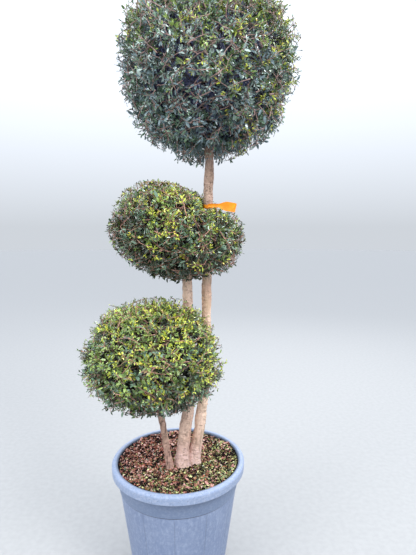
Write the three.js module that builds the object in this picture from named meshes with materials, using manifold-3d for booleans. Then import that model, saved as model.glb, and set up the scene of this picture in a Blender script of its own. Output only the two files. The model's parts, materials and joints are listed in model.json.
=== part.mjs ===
// A potted privet, trained as three clipped balls of foliage on three bare stems that rise from one round pot.
// Millimetres, +Z up, +X to the viewer's right and -Y towards the viewer.
// The origin is the middle of the pot's flat underside.

import * as THREE from "three";
import { mergeVertices } from "three/addons/utils/BufferGeometryUtils.js";
import Module from "manifold-3d";

const wasm = await Module();
wasm.setup();

// The clearance that separate pieces keep where they meet
const GAP = 0.3;

// The tolerance within which a joined piece's smallest facets are merged
const SHORTEST_EDGE = 0.2;

// Pot
const POT_HEIGHT = 450;
const RIM_RADIUS = 260;
const BASE_RADIUS = 180;
const WALL_TAPER = 0.141;
const WALL_THICKNESS = 5;
const FLOOR_THICKNESS = 7;
const FOOT_ROUNDING = 6;
const LIP_HEIGHT = 34;
const LIP_ROUNDING = 8;
const LIP_CHAMFER = 4;
const LIP_OVERHANG = 3;
const BAND_HEIGHT = 65;
const BAND_STEP = 2;
const POT_SEGMENTS = 48;
const DRAIN_HOLES = 6;
const DRAIN_RADIUS = 9;
const DRAIN_CIRCLE_RADIUS = 120;

// Compost
const SOIL_TOP = POT_HEIGHT - 25;
const SOIL_EDGE_DROP = 9;
const SOIL_LEVEL_RADIUS = 105;
const SOIL_UNEVEN_RADIUS = 200;
const SOIL_UNEVENNESS = 5;
const SOIL_RINGS = 5;

// Stems: each centreline runs from the compost to the flat top inside its ball
const STEMS = {
  tall: {
    centreline: [
      [59, 3, SOIL_TOP + GAP],
      [64, 3, 470],
      [76, 2, 530],
      [88, 1, 605],
      [99, 1, 700],
      [108, 2, 900],
      [112, 2, 1120],
      [116, 2, 1250],
      [117, 0, 1440],
      [121, 0, 1600],
      [121, 0, 1655],
    ],
    bottomRadius: 23,
    topRadius: 16.5,
    flare: 6,
    toes: 3,
    sides: 12,
    rings: 16,
  },
  middle: {
    centreline: [
      [18, -17, SOIL_TOP + GAP],
      [18, -15, 480],
      [26, -10, 560],
      [38, -8, 650],
      [42, -6, 800],
      [40, -8, 1000],
      [37, -10, 1195],
    ],
    bottomRadius: 26,
    topRadius: 18,
    flare: 7,
    toes: 4,
    sides: 12,
    rings: 11,
  },
  low: {
    centreline: [
      [-31, -38, SOIL_TOP + GAP],
      [-46, -42, 530],
      [-58, -50, 620],
      [-72, -62, 692],
    ],
    bottomRadius: 13,
    topRadius: 11,
    flare: 2,
    toes: 3,
    sides: 10,
    rings: 5,
  },
};
const FLARE_HEIGHT = 28;
const TOE_DEPTH = 0.5;
const TAPER_HEIGHT = 260;
const EARLY_TAPER_SHARE = 0.75;
const RING_CROWDING = 1.3;
const CURVE_SAMPLES = 160;

// Balls of foliage: the half sizes reach to the outermost leaves
const BALLS = [
  {
    name: "top_ball",
    centre: [113, 0, 1925],
    halfSize: [318, 312, 318],
    tilt: 0,
    stem: "tall",
    passedBy: [],
    twigs: 23,
    seed: 14,
  },
  {
    name: "middle_ball",
    centre: [12, -20, 1344],
    halfSize: [252, 240, 174],
    tilt: 0.13,
    stem: "middle",
    passedBy: ["tall"],
    twigs: 15,
    seed: 29,
  },
  {
    name: "low_ball",
    centre: [-93, -80, 875],
    halfSize: [264, 254, 220],
    tilt: -0.05,
    stem: "low",
    passedBy: ["middle", "tall"],
    twigs: 17,
    seed: 47,
  },
];
const CORE_INSET = 27;
const CORE_DETAIL = 4;
const LUMP_HEIGHT = 0.03;
const LUMP_WAVES = { along: 3.4, across: 3.9, up: 6.1, twist: 4.3 };
const LUMP_MEAN = 0.4;
const CHANNEL_CLEARANCE = 11;
const STUB_HEIGHT = 70;
const STUB_FOOT_SHARE = 0.9;
const STUB_TIP_SHARE = 0.7;
const TWIG_ROOT_INSET = 72;
const TWIG_TIP_INSET = 15;
const TWIG_RADIUS = 4.5;
const TWIG_TIP_SHARE = 0.6;
const TWIG_WANDER = 0.1;
const SIDE_SHOOT_SPREAD = 0.24;
const SIDE_SHOOT_START = 0.3;
const LONG_SHOOT_EVERY = 7;
const LONG_SHOOT_EXTRA = 30;
const LEAF_LENGTH = 64;
const LEAF_WIDTH_SHARE = 0.44;
const LEAF_THICKNESS_SHARE = 0.045;
const LEAF_WIDEST_SHARE = 0.42;
const LEAF_PAIRS = [
  { inset: 24, rise: 0.18 },
  { inset: 17, rise: 0.34 },
];
const TIP_LEAF_SHARE = 0.68;
const TIP_LEAF_LEAN = 0.8;
const LEAF_CLEARANCE = 4;
const LEAF_OVERSHOOT = 10;
const PROBE_SHARES = [0, 0.2, 0.4, 0.6, 0.8, 1];

// Loop label on the tall stem
const LABEL_HEIGHT = 1437;
const LABEL_THICKNESS = 1;
const LABEL_STRAP_WIDTH = 13;
const LABEL_STRAP_LENGTH = 60;
const LABEL_HEAD_WIDTH = 36;
const LABEL_HEAD_LENGTH = 44;
const LABEL_SHOULDER = 9;
const LABEL_DROOP = 0.18;
const LABEL_SPACE = new THREE.Box3(new THREE.Vector3(90, -30, 1396), new THREE.Vector3(232, -10, 1456));

const POT_COLOUR = 0x8e9dbe;
const SOIL_COLOUR = 0x5a4338;
const BARK_COLOUR = 0xcdb09f;
const FOLIAGE_COLOUR = 0x4f6236;
const LABEL_COLOUR = 0xf08a12;

// A closed geometry as a solid that can be joined and cut.
function toSolid(geometry) {
  const bare = geometry.clone();
  bare.deleteAttribute("normal");
  bare.deleteAttribute("uv");
  const merged = mergeVertices(bare, 1e-3);
  return new wasm.Manifold(
    new wasm.Mesh({
      numProp: 3,
      vertProperties: new Float32Array(merged.attributes.position.array),
      triVerts: new Uint32Array(merged.index.array),
    }),
  );
}

// A solid as a geometry, without any scrap that a cut left loose.
function toGeometry(solid) {
  const whole = solid.decompose().sort((a, b) => b.volume() - a.volume())[0];
  const mesh = whole.simplify(SHORTEST_EDGE).getMesh();
  return new THREE.BufferGeometry()
    .setAttribute("position", new THREE.BufferAttribute(mesh.vertProperties, 3))
    .setIndex(new THREE.BufferAttribute(mesh.triVerts, 1))
    .toNonIndexed();
}

// Seeded random numbers between low and high.
function seededRandom(seed) {
  let state = seed;
  return (low = 0, high = 1) => {
    state = (state + 0x6d2b79f5) | 0;
    let mixed = Math.imul(state ^ (state >>> 15), 1 | state);
    mixed = (mixed + Math.imul(mixed ^ (mixed >>> 7), 61 | mixed)) ^ mixed;
    return low + ((high - low) * ((mixed ^ (mixed >>> 14)) >>> 0)) / 4294967296;
  };
}

// Moves each vertex of a geometry to the point that a function gives for it.
function moveVertices(geometry, place) {
  const positions = geometry.attributes.position;
  const point = new THREE.Vector3();
  for (let i = 0; i < positions.count; i += 1) {
    point.fromBufferAttribute(positions, i);
    place(point);
    positions.setXYZ(i, point.x, point.y, point.z);
  }
  return geometry;
}

const wallRadius = (z) => BASE_RADIUS + WALL_TAPER * z;

// The pot: a tapered tub with a plain band and a thick rolled lip.
function potGeometry() {
  const lipBottom = POT_HEIGHT - LIP_HEIGHT;
  const bandBottom = lipBottom - BAND_HEIGHT;
  const mouthRadius = wallRadius(lipBottom) - WALL_THICKNESS + LIP_OVERHANG;
  const outline = new THREE.Path()
    .moveTo(0, 0)
    .lineTo(BASE_RADIUS - FOOT_ROUNDING, 0)
    .quadraticCurveTo(BASE_RADIUS, 0, wallRadius(FOOT_ROUNDING), FOOT_ROUNDING)
    .lineTo(wallRadius(bandBottom), bandBottom)
    .lineTo(wallRadius(bandBottom) + BAND_STEP, bandBottom + BAND_STEP)
    .lineTo(wallRadius(lipBottom) + BAND_STEP, lipBottom)
    .lineTo(RIM_RADIUS - LIP_CHAMFER, lipBottom)
    .lineTo(RIM_RADIUS, lipBottom + LIP_CHAMFER)
    .lineTo(RIM_RADIUS, POT_HEIGHT - LIP_ROUNDING)
    .quadraticCurveTo(RIM_RADIUS, POT_HEIGHT, RIM_RADIUS - LIP_ROUNDING, POT_HEIGHT)
    .quadraticCurveTo(mouthRadius, POT_HEIGHT, mouthRadius, POT_HEIGHT - LIP_ROUNDING)
    .lineTo(wallRadius(lipBottom) - WALL_THICKNESS, lipBottom)
    .lineTo(wallRadius(FLOOR_THICKNESS) - WALL_THICKNESS, FLOOR_THICKNESS)
    .lineTo(0, FLOOR_THICKNESS);
  const tub = toSolid(
    new THREE.LatheGeometry(outline.getPoints(2), POT_SEGMENTS).rotateX(Math.PI / 2),
  );
  const drains = Array.from({ length: DRAIN_HOLES }, (_, i) => {
    const angle = (2 * Math.PI * i) / DRAIN_HOLES;
    return toSolid(
      new THREE.CylinderGeometry(DRAIN_RADIUS, DRAIN_RADIUS, 3 * FLOOR_THICKNESS, 10)
        .rotateX(Math.PI / 2)
        .translate(DRAIN_CIRCLE_RADIUS * Math.cos(angle), DRAIN_CIRCLE_RADIUS * Math.sin(angle), 0),
    );
  });
  return toGeometry(tub.subtract(wasm.Manifold.union(drains)));
}

// The height of the compost above its level middle: gentle waves that grow towards the wall.
function soilWave(x, y) {
  const outside = THREE.MathUtils.smoothstep(Math.hypot(x, y), SOIL_LEVEL_RADIUS, SOIL_UNEVEN_RADIUS);
  const wave = Math.sin(x / 37) * Math.cos(y / 29) + Math.sin((x - y) / 53);
  return SOIL_UNEVENNESS * outside * (wave / 2 - 0.4);
}

// The compost: it fills the pot, is level round the stems and a little uneven towards the wall.
function soilGeometry() {
  const fillRadius = (z) => wallRadius(z) - WALL_THICKNESS - GAP;
  const bottom = FLOOR_THICKNESS + GAP;
  const edge = SOIL_TOP - SOIL_EDGE_DROP;
  const outline = [new THREE.Vector2(0, bottom), new THREE.Vector2(fillRadius(bottom), bottom)];
  outline.push(new THREE.Vector2(fillRadius(edge), edge));
  for (let ring = SOIL_RINGS - 1; ring >= 0; ring -= 1) {
    outline.push(new THREE.Vector2((fillRadius(edge) * ring) / SOIL_RINGS, SOIL_TOP));
  }
  const body = new THREE.LatheGeometry(outline, POT_SEGMENTS).rotateX(Math.PI / 2);
  return moveVertices(body, (p) => {
    if (p.z > edge + 1) p.z += soilWave(p.x, p.y);
  });
}

// A stem's middle at a height, found along its smooth centreline.
function stemLine(stem) {
  const curve = new THREE.CatmullRomCurve3(
    stem.centreline.map((p) => new THREE.Vector3(...p)),
    false,
    "centripetal",
  );
  const samples = curve.getPoints(CURVE_SAMPLES);
  return (z) => {
    const next = samples.findIndex((p) => p.z >= z);
    if (next < 0) return samples.at(-1).clone();
    if (next === 0) return samples[0].clone();
    const below = samples[next - 1];
    const share = (z - below.z) / (samples[next].z - below.z);
    return below.clone().lerp(samples[next], share);
  };
}

// A stem's radius at a height above its foot: a flared foot, a quick taper, then a slow one.
function stemRadius(stem, above, length) {
  const early = 1 - Math.exp(-above / TAPER_HEIGHT);
  const share = EARLY_TAPER_SHARE * early + ((1 - EARLY_TAPER_SHARE) * above) / length;
  return THREE.MathUtils.lerp(stem.bottomRadius, stem.topRadius, share);
}

// A stem with level ends, made thicker all over by extra, and longer at its top by extraTop.
function stemGeometry(stem, extra = 0, extraTop = 0) {
  const bottom = stem.centreline[0][2];
  const top = stem.centreline.at(-1)[2];
  const limb = new THREE.CylinderGeometry(1, 1, 1, stem.sides, stem.rings).rotateX(Math.PI / 2);
  return moveVertices(limb, (p) => {
    const share = p.z + 0.5;
    const above = (top - bottom) * share ** RING_CROWDING;
    const angle = Math.atan2(p.y, p.x);
    const toes = 1 + TOE_DEPTH * Math.cos(stem.toes * angle + 1);
    const flare = stem.flare * toes * Math.exp(-above / FLARE_HEIGHT);
    const radius = stemRadius(stem, above, top - bottom) + flare + extra;
    const middle = stem.line(bottom + above);
    const lift = share > 0.999 ? extraTop : 0;
    p.set(middle.x + p.x * radius, middle.y + p.y * radius, middle.z + lift);
  });
}

// True if a point is nearer to a stem than its bark plus a clearance.
function nearStem(stem, point, clearance) {
  const bottom = stem.centreline[0][2];
  const top = stem.centreline.at(-1)[2];
  if (point.z > top + clearance) return false;
  const middle = stem.line(point.z);
  const above = THREE.MathUtils.clamp(point.z - bottom, 0, top - bottom);
  const bark = stemRadius(stem, above, top - bottom);
  return Math.hypot(point.x - middle.x, point.y - middle.y) < bark + clearance;
}

for (const stem of Object.values(STEMS)) stem.line = stemLine(stem);

// How far a ball's outermost leaves reach from its centre in a direction.
function ballReach(ball, direction) {
  const turned = direction.clone().applyAxisAngle(new THREE.Vector3(0, 1, 0), -ball.tilt);
  const [a, b, c] = ball.halfSize;
  const smooth = 1 / Math.hypot(turned.x / a, turned.y / b, turned.z / c);
  const phase = ball.seed;
  const { along, across, up, twist } = LUMP_WAVES;
  const broad = Math.sin(along * turned.x + phase) * Math.cos(across * turned.y - phase);
  const fine = 0.6 * Math.sin(up * turned.z + twist * turned.x + 2 * phase);
  return smooth * (1 + LUMP_HEIGHT * (broad + fine - LUMP_MEAN));
}

// A leaf of eight faces whose base is at a point, and which grows along a direction and faces a normal.
function leafGeometry(base, along, facing, length) {
  const side = new THREE.Vector3().crossVectors(facing, along).normalize();
  const face = new THREE.Vector3().crossVectors(along, side);
  const blade = new THREE.OctahedronGeometry(1);
  const shape = (p) => {
    const lengthwise = Math.abs(p.x) > 0.5 ? (p.x + 1) / 2 : LEAF_WIDEST_SHARE;
    p.set(
      lengthwise * length,
      (p.y * LEAF_WIDTH_SHARE * length) / 2,
      (p.z * LEAF_THICKNESS_SHARE * length) / 2,
    );
  };
  const placement = new THREE.Matrix4().makeBasis(along, side, face).setPosition(base);
  return moveVertices(blade, shape).applyMatrix4(placement);
}

// A three-sided twig that tapers from its root to its tip.
function twigGeometry(root, tip, radius) {
  const length = root.distanceTo(tip);
  const along = tip.clone().sub(root).normalize();
  const turn = new THREE.Quaternion().setFromUnitVectors(new THREE.Vector3(0, 1, 0), along);
  return new THREE.CylinderGeometry(radius * TWIG_TIP_SHARE, radius, length, 3)
    .translate(0, length / 2, 0)
    .applyQuaternion(turn)
    .translate(root.x, root.y, root.z);
}

// The point at a depth inside a ball's outline, in a direction from its centre.
function pointInBall(ball, direction, inset) {
  const reach = ballReach(ball, direction) - inset;
  return new THREE.Vector3(...ball.centre).addScaledVector(direction, reach);
}

// The paths of a ball's outer twigs: evenly spread, each with one side shoot, by a seeded rule.
function twigPaths(ball, random) {
  const paths = [];
  for (let i = 0; i < ball.twigs; i += 1) {
    const height = 1 - (2 * (i + 0.5)) / ball.twigs;
    const round = i * Math.PI * (3 - Math.sqrt(5)) + random(-0.2, 0.2);
    const flat = Math.sqrt(1 - height * height);
    const out = new THREE.Vector3(flat * Math.cos(round), flat * Math.sin(round), height);
    const wander = new THREE.Vector3(random(-1, 1), random(-1, 1), random(-1, 1));
    const aim = out.clone().addScaledVector(wander, TWIG_WANDER).normalize();
    const sideways = new THREE.Vector3().crossVectors(out, wander).normalize();
    const sideAim = aim.clone().addScaledVector(sideways, SIDE_SHOOT_SPREAD).normalize();
    const extra = i % LONG_SHOOT_EVERY === 1 && height > -0.3 ? LONG_SHOOT_EXTRA : 0;
    const root = pointInBall(ball, out, TWIG_ROOT_INSET);
    const tip = pointInBall(ball, aim, TWIG_TIP_INSET - extra);
    const fork = root.clone().lerp(tip, SIDE_SHOOT_START);
    paths.push({ root, tip, extra });
    paths.push({ root: fork, tip: pointInBall(ball, sideAim, TWIG_TIP_INSET), extra: 0 });
  }
  return paths;
}

// The leaves of one twig: opposite pairs, each turned a quarter from the last, and one at the tip.
function leavesOnTwig(path, random) {
  const along = path.tip.clone().sub(path.root).normalize();
  const start = new THREE.Vector3(random(-1, 1), random(-1, 1), random(-1, 1));
  const across = new THREE.Vector3().crossVectors(along, start).normalize();
  const leaves = LEAF_PAIRS.flatMap((pair, i) =>
    [0, Math.PI].map((turn) => {
      const side = across.clone().applyAxisAngle(along, turn + (i * Math.PI) / 2);
      const direction = side.addScaledVector(along, pair.rise).normalize();
      const base = path.tip.clone().addScaledVector(along, TWIG_TIP_INSET - pair.inset);
      return { base, direction, share: random(0.85, 1.1) };
    }),
  );
  const tipDirection = along.clone().addScaledVector(across, TIP_LEAF_LEAN).normalize();
  const tipBase = path.tip.clone().addScaledVector(along, -6);
  leaves.push({ base: tipBase, direction: tipDirection, share: TIP_LEAF_SHARE });
  return leaves.map(({ base, direction, share }) => {
    const outward = along.clone().addScaledVector(across, random(-0.6, 0.6));
    const facing = outward.addScaledVector(direction, -outward.dot(direction)).normalize();
    return { base, direction, facing, length: LEAF_LENGTH * share };
  });
}

// The space round the label as a solid to cut from the foliage.
function labelSolid() {
  const size = LABEL_SPACE.getSize(new THREE.Vector3());
  const middle = LABEL_SPACE.getCenter(new THREE.Vector3());
  return toSolid(new THREE.BoxGeometry(size.x, size.y, size.z).translate(middle.x, middle.y, middle.z));
}

// One clipped ball: a lumpy core cut clear of the stems that pass, with leafy twigs that stand out of it.
function ballGeometry(ball) {
  const random = seededRandom(ball.seed);
  const centre = new THREE.Vector3(...ball.centre);
  const ownStem = STEMS[ball.stem];
  const limbs = [ball.stem, ...ball.passedBy].map((name) => STEMS[name]);
  const core = moveVertices(new THREE.IcosahedronGeometry(1, CORE_DETAIL), (p) => {
    const direction = p.clone().normalize();
    p.copy(pointInBall(ball, direction, CORE_INSET));
  });
  const channels = ball.passedBy.map((name) => toSolid(stemGeometry(STEMS[name], CHANNEL_CLEARANCE)));
  channels.push(toSolid(stemGeometry(ownStem, CHANNEL_CLEARANCE, GAP)));
  channels.push(labelSolid());
  const cutCore = toSolid(core).subtract(wasm.Manifold.union(channels));

  const foot = ownStem.line(ownStem.centreline.at(-1)[2]);
  const stubRadii = [STUB_TIP_SHARE, STUB_FOOT_SHARE].map((share) => share * ownStem.topRadius);
  const stub = new THREE.CylinderGeometry(...stubRadii, STUB_HEIGHT, 8)
    .rotateX(Math.PI / 2)
    .translate(foot.x, foot.y, foot.z + GAP + STUB_HEIGHT / 2);

  const pieces = [cutCore, toSolid(stub)];
  const blocked = (point, clearance) =>
    LABEL_SPACE.distanceToPoint(point) < clearance ||
    limbs.some((stem) => nearStem(stem, point, clearance));
  const pathBlocked = (from, to, clearance) =>
    PROBE_SHARES.some((share) => blocked(from.clone().lerp(to, share), clearance));
  for (const path of twigPaths(ball, random)) {
    const leaves = leavesOnTwig(path, random);
    if (pathBlocked(path.root, path.tip, TWIG_RADIUS + LEAF_CLEARANCE)) continue;
    pieces.push(toSolid(twigGeometry(path.root, path.tip, TWIG_RADIUS)));
    for (const leaf of leaves) {
      const tip = leaf.base.clone().addScaledVector(leaf.direction, leaf.length);
      const outward = tip.clone().sub(centre);
      const reach = ballReach(ball, outward.clone().normalize()) + path.extra + LEAF_OVERSHOOT;
      const halfWidth = (LEAF_WIDTH_SHARE * leaf.length) / 2;
      const isOutside = outward.length() > reach;
      if (isOutside || pathBlocked(leaf.base, tip, halfWidth + LEAF_CLEARANCE)) continue;
      pieces.push(toSolid(leafGeometry(leaf.base, leaf.direction, leaf.facing, leaf.length)));
    }
  }
  return toGeometry(wasm.Manifold.union(pieces));
}

// The loop label: a band round the tall stem, whose free end widens to a blank head.
function labelGeometry() {
  const stem = STEMS.tall;
  const middle = stem.line(LABEL_HEIGHT);
  const above = LABEL_HEIGHT - stem.centreline[0][2];
  const length = stem.centreline.at(-1)[2] - stem.centreline[0][2];
  const inner = stemRadius(stem, above, length) + 1;
  const half = LABEL_STRAP_WIDTH / 2;
  const section = [
    [inner, -half],
    [inner + LABEL_THICKNESS, -half],
    [inner + LABEL_THICKNESS, half],
    [inner, half],
    [inner, -half],
  ].map(([r, z]) => new THREE.Vector2(r, z));
  const band = new THREE.LatheGeometry(section, 20).rotateX(Math.PI / 2);
  const headStart = LABEL_STRAP_LENGTH + LABEL_SHOULDER;
  const headEnd = LABEL_STRAP_LENGTH + LABEL_HEAD_LENGTH;
  const headHalf = LABEL_HEAD_WIDTH / 2;
  const outline = new THREE.Shape()
    .moveTo(0, -half)
    .lineTo(LABEL_STRAP_LENGTH, -half)
    .lineTo(headStart, -headHalf)
    .lineTo(headEnd, -headHalf)
    .lineTo(headEnd, headHalf)
    .lineTo(headStart, headHalf)
    .lineTo(LABEL_STRAP_LENGTH, half)
    .lineTo(0, half);
  const tag = new THREE.ExtrudeGeometry(outline, { depth: LABEL_THICKNESS, bevelEnabled: false })
    .rotateX(Math.PI / 2)
    .rotateY(LABEL_DROOP)
    .translate(0, -inner - 0.1, 0);
  const whole = toSolid(band).add(toSolid(tag));
  return toGeometry(whole).translate(middle.x, middle.y, LABEL_HEIGHT);
}

// One named mesh for each piece.
function piece(name, geometry, color, roughness) {
  const material = new THREE.MeshStandardMaterial({ color, roughness, metalness: 0 });
  const mesh = new THREE.Mesh(geometry, material);
  mesh.name = name;
  return mesh;
}

// The tall stem's foot is cut back where it leans on the middle stem's.
const tallSolid = toSolid(stemGeometry(STEMS.tall)).subtract(toSolid(stemGeometry(STEMS.middle, GAP, GAP)));

const privet = new THREE.Group();
privet.add(
  piece("pot", potGeometry(), POT_COLOUR, 0.6),
  piece("compost", soilGeometry(), SOIL_COLOUR, 0.95),
  piece("tall_stem", toGeometry(tallSolid), BARK_COLOUR, 0.8),
  piece("middle_stem", stemGeometry(STEMS.middle), BARK_COLOUR, 0.8),
  piece("low_stem", stemGeometry(STEMS.low), BARK_COLOUR, 0.8),
  piece("loop_label", labelGeometry(), LABEL_COLOUR, 0.5),
);
for (const ball of BALLS) privet.add(piece(ball.name, ballGeometry(ball), FOLIAGE_COLOUR, 0.7));

export default privet;
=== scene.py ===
"""Looks for a potted privet that is trained as three clipped balls of foliage on three bare stems.

Every length is in metres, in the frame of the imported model: the origin is the middle of the tub's underside,
+Z is up and -Y points to the viewer. The foliage grows on from the stems by the rule of the solids, carried
to finer twigs.
"""

import json
import logging
import math
from collections.abc import Mapping, Sequence
from dataclasses import dataclass, field
from enum import Enum

import bpy
import numpy as np
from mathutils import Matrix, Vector, noise

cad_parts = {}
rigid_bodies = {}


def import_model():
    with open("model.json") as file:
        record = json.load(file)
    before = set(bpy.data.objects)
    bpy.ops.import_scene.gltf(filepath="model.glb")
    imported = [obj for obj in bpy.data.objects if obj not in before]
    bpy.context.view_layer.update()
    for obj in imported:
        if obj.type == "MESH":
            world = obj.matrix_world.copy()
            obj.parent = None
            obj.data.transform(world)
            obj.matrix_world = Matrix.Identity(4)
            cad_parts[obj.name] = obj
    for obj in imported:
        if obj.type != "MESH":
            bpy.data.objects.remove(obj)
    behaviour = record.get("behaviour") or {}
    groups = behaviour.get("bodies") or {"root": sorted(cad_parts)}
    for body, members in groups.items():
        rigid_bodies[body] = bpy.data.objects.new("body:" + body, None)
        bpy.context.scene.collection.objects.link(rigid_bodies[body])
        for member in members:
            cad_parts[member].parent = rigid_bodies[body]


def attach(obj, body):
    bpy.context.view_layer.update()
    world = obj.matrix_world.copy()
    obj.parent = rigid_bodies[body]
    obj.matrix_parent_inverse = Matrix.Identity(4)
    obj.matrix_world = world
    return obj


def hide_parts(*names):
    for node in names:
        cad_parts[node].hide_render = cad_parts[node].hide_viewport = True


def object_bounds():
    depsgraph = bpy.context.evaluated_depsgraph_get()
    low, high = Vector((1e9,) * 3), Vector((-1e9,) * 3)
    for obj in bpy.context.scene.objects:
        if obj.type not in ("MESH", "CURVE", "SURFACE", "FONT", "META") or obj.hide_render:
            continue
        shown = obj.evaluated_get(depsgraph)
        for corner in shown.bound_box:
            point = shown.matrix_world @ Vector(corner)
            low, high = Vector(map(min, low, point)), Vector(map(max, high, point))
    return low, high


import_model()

LOG = logging.getLogger("privet")
ROOT = "root"
CAD_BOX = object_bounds()
GOLDEN_ANGLE = math.pi * (3 - math.sqrt(5))

Array = np.ndarray
Colour = tuple[float, float, float]
Place = tuple[float, float, float]
Face = tuple[int, ...]
Inputs = Mapping[str | int, object]
Piece = bpy.types.Object
Material = bpy.types.Material


def tint(red: int, green: int, blue: int) -> Colour:
    """The linear colour of a colour given on the usual 0 to 255 scale."""
    shares = [value / 255 for value in (red, green, blue)]
    return tuple(s / 12.92 if s <= 0.04045 else ((s + 0.055) / 1.055) ** 2.4 for s in shares)


def unit(vectors: Array | Place) -> Array:
    """The vectors at length one."""
    return vectors / np.maximum(np.linalg.norm(vectors, axis=-1, keepdims=True), 1e-9)


def smooth_share(values: Array | float, low: float, high: float) -> Array:
    """Values eased from 0 at low to 1 at high."""
    share = np.clip((values - low) / (high - low), 0, 1)
    return share * share * (3 - 2 * share)


def turns(count: int) -> Array:
    """Angles spread evenly over a full turn, in radians."""
    return np.linspace(0, math.tau, count, endpoint=False)


def round_axis(angles: Array, radii: Array | float, heights: Array | float) -> Array:
    """Points at angles round the Z axis, at distances from it and at heights."""
    return np.stack(np.broadcast_arrays(radii * np.cos(angles), radii * np.sin(angles), heights), axis=-1)


def spread_directions(count: int) -> Array:
    """Directions spread evenly round a ball, from its top to its bottom."""
    height = 1 - (2 * np.arange(count) + 1) / count
    return round_axis(np.arange(count) * GOLDEN_ANGLE, np.sqrt(1 - height**2), height)


def smooth_path(points: Sequence[Place], steps: int = 24) -> Array:
    """Draws a smooth curve through points, of the centripetal kind that the solids use.

    Args:
        points: The points that it passes.
        steps: How many points it has from each of them to the next.

    Returns:
        The points of the curve.
    """
    given = np.array(points, dtype=float)
    padded = np.vstack([2 * given[0] - given[1], given, 2 * given[-1] - given[-2]])
    parts = []
    for p0, p1, p2, p3 in zip(padded, padded[1:], padded[2:], padded[3:]):
        d0, d1, d2 = (math.sqrt(np.linalg.norm(b - a)) for a, b in ((p0, p1), (p1, p2), (p2, p3)))
        start = ((p1 - p0) / d0 - (p2 - p0) / (d0 + d1) + (p2 - p1) / d1) * d1
        end = ((p2 - p1) / d1 - (p3 - p1) / (d1 + d2) + (p3 - p2) / d2) * d1
        t = np.linspace(0, 1, steps, endpoint=False)[:, None]
        parts.append(
            (2 * t**3 - 3 * t**2 + 1) * p1
            + (t**3 - 2 * t**2 + t) * start
            + (3 * t**2 - 2 * t**3) * p2
            + (t**3 - t**2) * end
        )
    return np.vstack([*parts, given[-1]])


class Wire:
    """What a node gives. Arithmetic on it adds Math nodes to its tree."""

    def __init__(self, tree: "Tree", socket: bpy.types.NodeSocket) -> None:
        """Wraps an output socket of a node in a tree."""
        self.tree = tree
        self.socket = socket

    def _math(self, operation: str, first: "Wire | float", second: "Wire | float" = 0) -> "Wire":
        """The result of one Math node."""
        return self.tree.node("ShaderNodeMath", {"operation": operation}, {0: first, 1: second})

    def __add__(self, other: "Wire | float") -> "Wire":
        """The sum."""
        return self._math("ADD", self, other)

    def __sub__(self, other: "Wire | float") -> "Wire":
        """The difference."""
        return self._math("SUBTRACT", self, other)

    def __rsub__(self, other: "Wire | float") -> "Wire":
        """The difference, taken from a plain number."""
        return self._math("SUBTRACT", other, self)

    def __mul__(self, other: "Wire | float") -> "Wire":
        """The product."""
        return self._math("MULTIPLY", self, other)

    __radd__ = __add__
    __rmul__ = __mul__

    def angle(self, other: "Wire") -> "Wire":
        """The angle whose cosine and sine are in the proportion of this value and another one."""
        return self._math("ARCTAN2", other, self)

    def fraction(self) -> "Wire":
        """What is left of the value without its whole part."""
        return self._math("FRACT", self)

    def size(self) -> "Wire":
        """The value without its sign."""
        return self._math("ABSOLUTE", self)

    def band(self, low: float, high: float) -> "Wire":
        """This value eased from 0 at low to 1 at high."""
        ends = {"Value": self, "From Min": low, "From Max": high}
        return self.tree.node("ShaderNodeMapRange", {"interpolation_type": "SMOOTHSTEP"}, ends)


class Tree:
    """A node tree that is written line by line."""

    def __init__(self, tree: bpy.types.NodeTree) -> None:
        """Starts on a tree of any kind."""
        self.tree = tree

    def node(
        self,
        kind: str,
        settings: Mapping[str, object] | None = None,
        inputs: Inputs | None = None,
        output: str | int = 0,
    ) -> Wire:
        """Adds a node.

        Args:
            kind: The node's type.
            settings: Its properties, set before its sockets. stops are a ramp's places and colours.
            inputs: Values, or wires to link, by socket.
            output: The socket to read.

        Returns:
            The wire from that output.
        """
        made = self.tree.nodes.new(kind)
        for key, value in (settings or {}).items():
            if key == "stops":
                for element, (place, colour) in zip(made.color_ramp.elements, value):
                    element.position = place
                    element.color = (*colour, 1)
            else:
                setattr(made, key, value)
        self.feed(made, inputs or {})
        return Wire(self, made.outputs[output])

    def feed(self, node: bpy.types.Node, inputs: Inputs) -> None:
        """Links wires to a node's sockets, or sets the sockets' own values.

        Args:
            node: The node.
            inputs: The wires and values, by socket.
        """
        for key, value in inputs.items():
            socket = node.inputs[key]
            if isinstance(value, Wire):
                self.tree.links.new(value.socket, socket)
            else:
                socket.default_value = (*value, 1) if socket.type == "RGBA" else value

    def ramp(self, value: Wire, *stops: tuple[float, Colour]) -> Wire:
        """The colour of a value between the two stops of a ramp."""
        return self.node("ShaderNodeValToRGB", {"stops": stops}, {"Fac": value})


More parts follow.
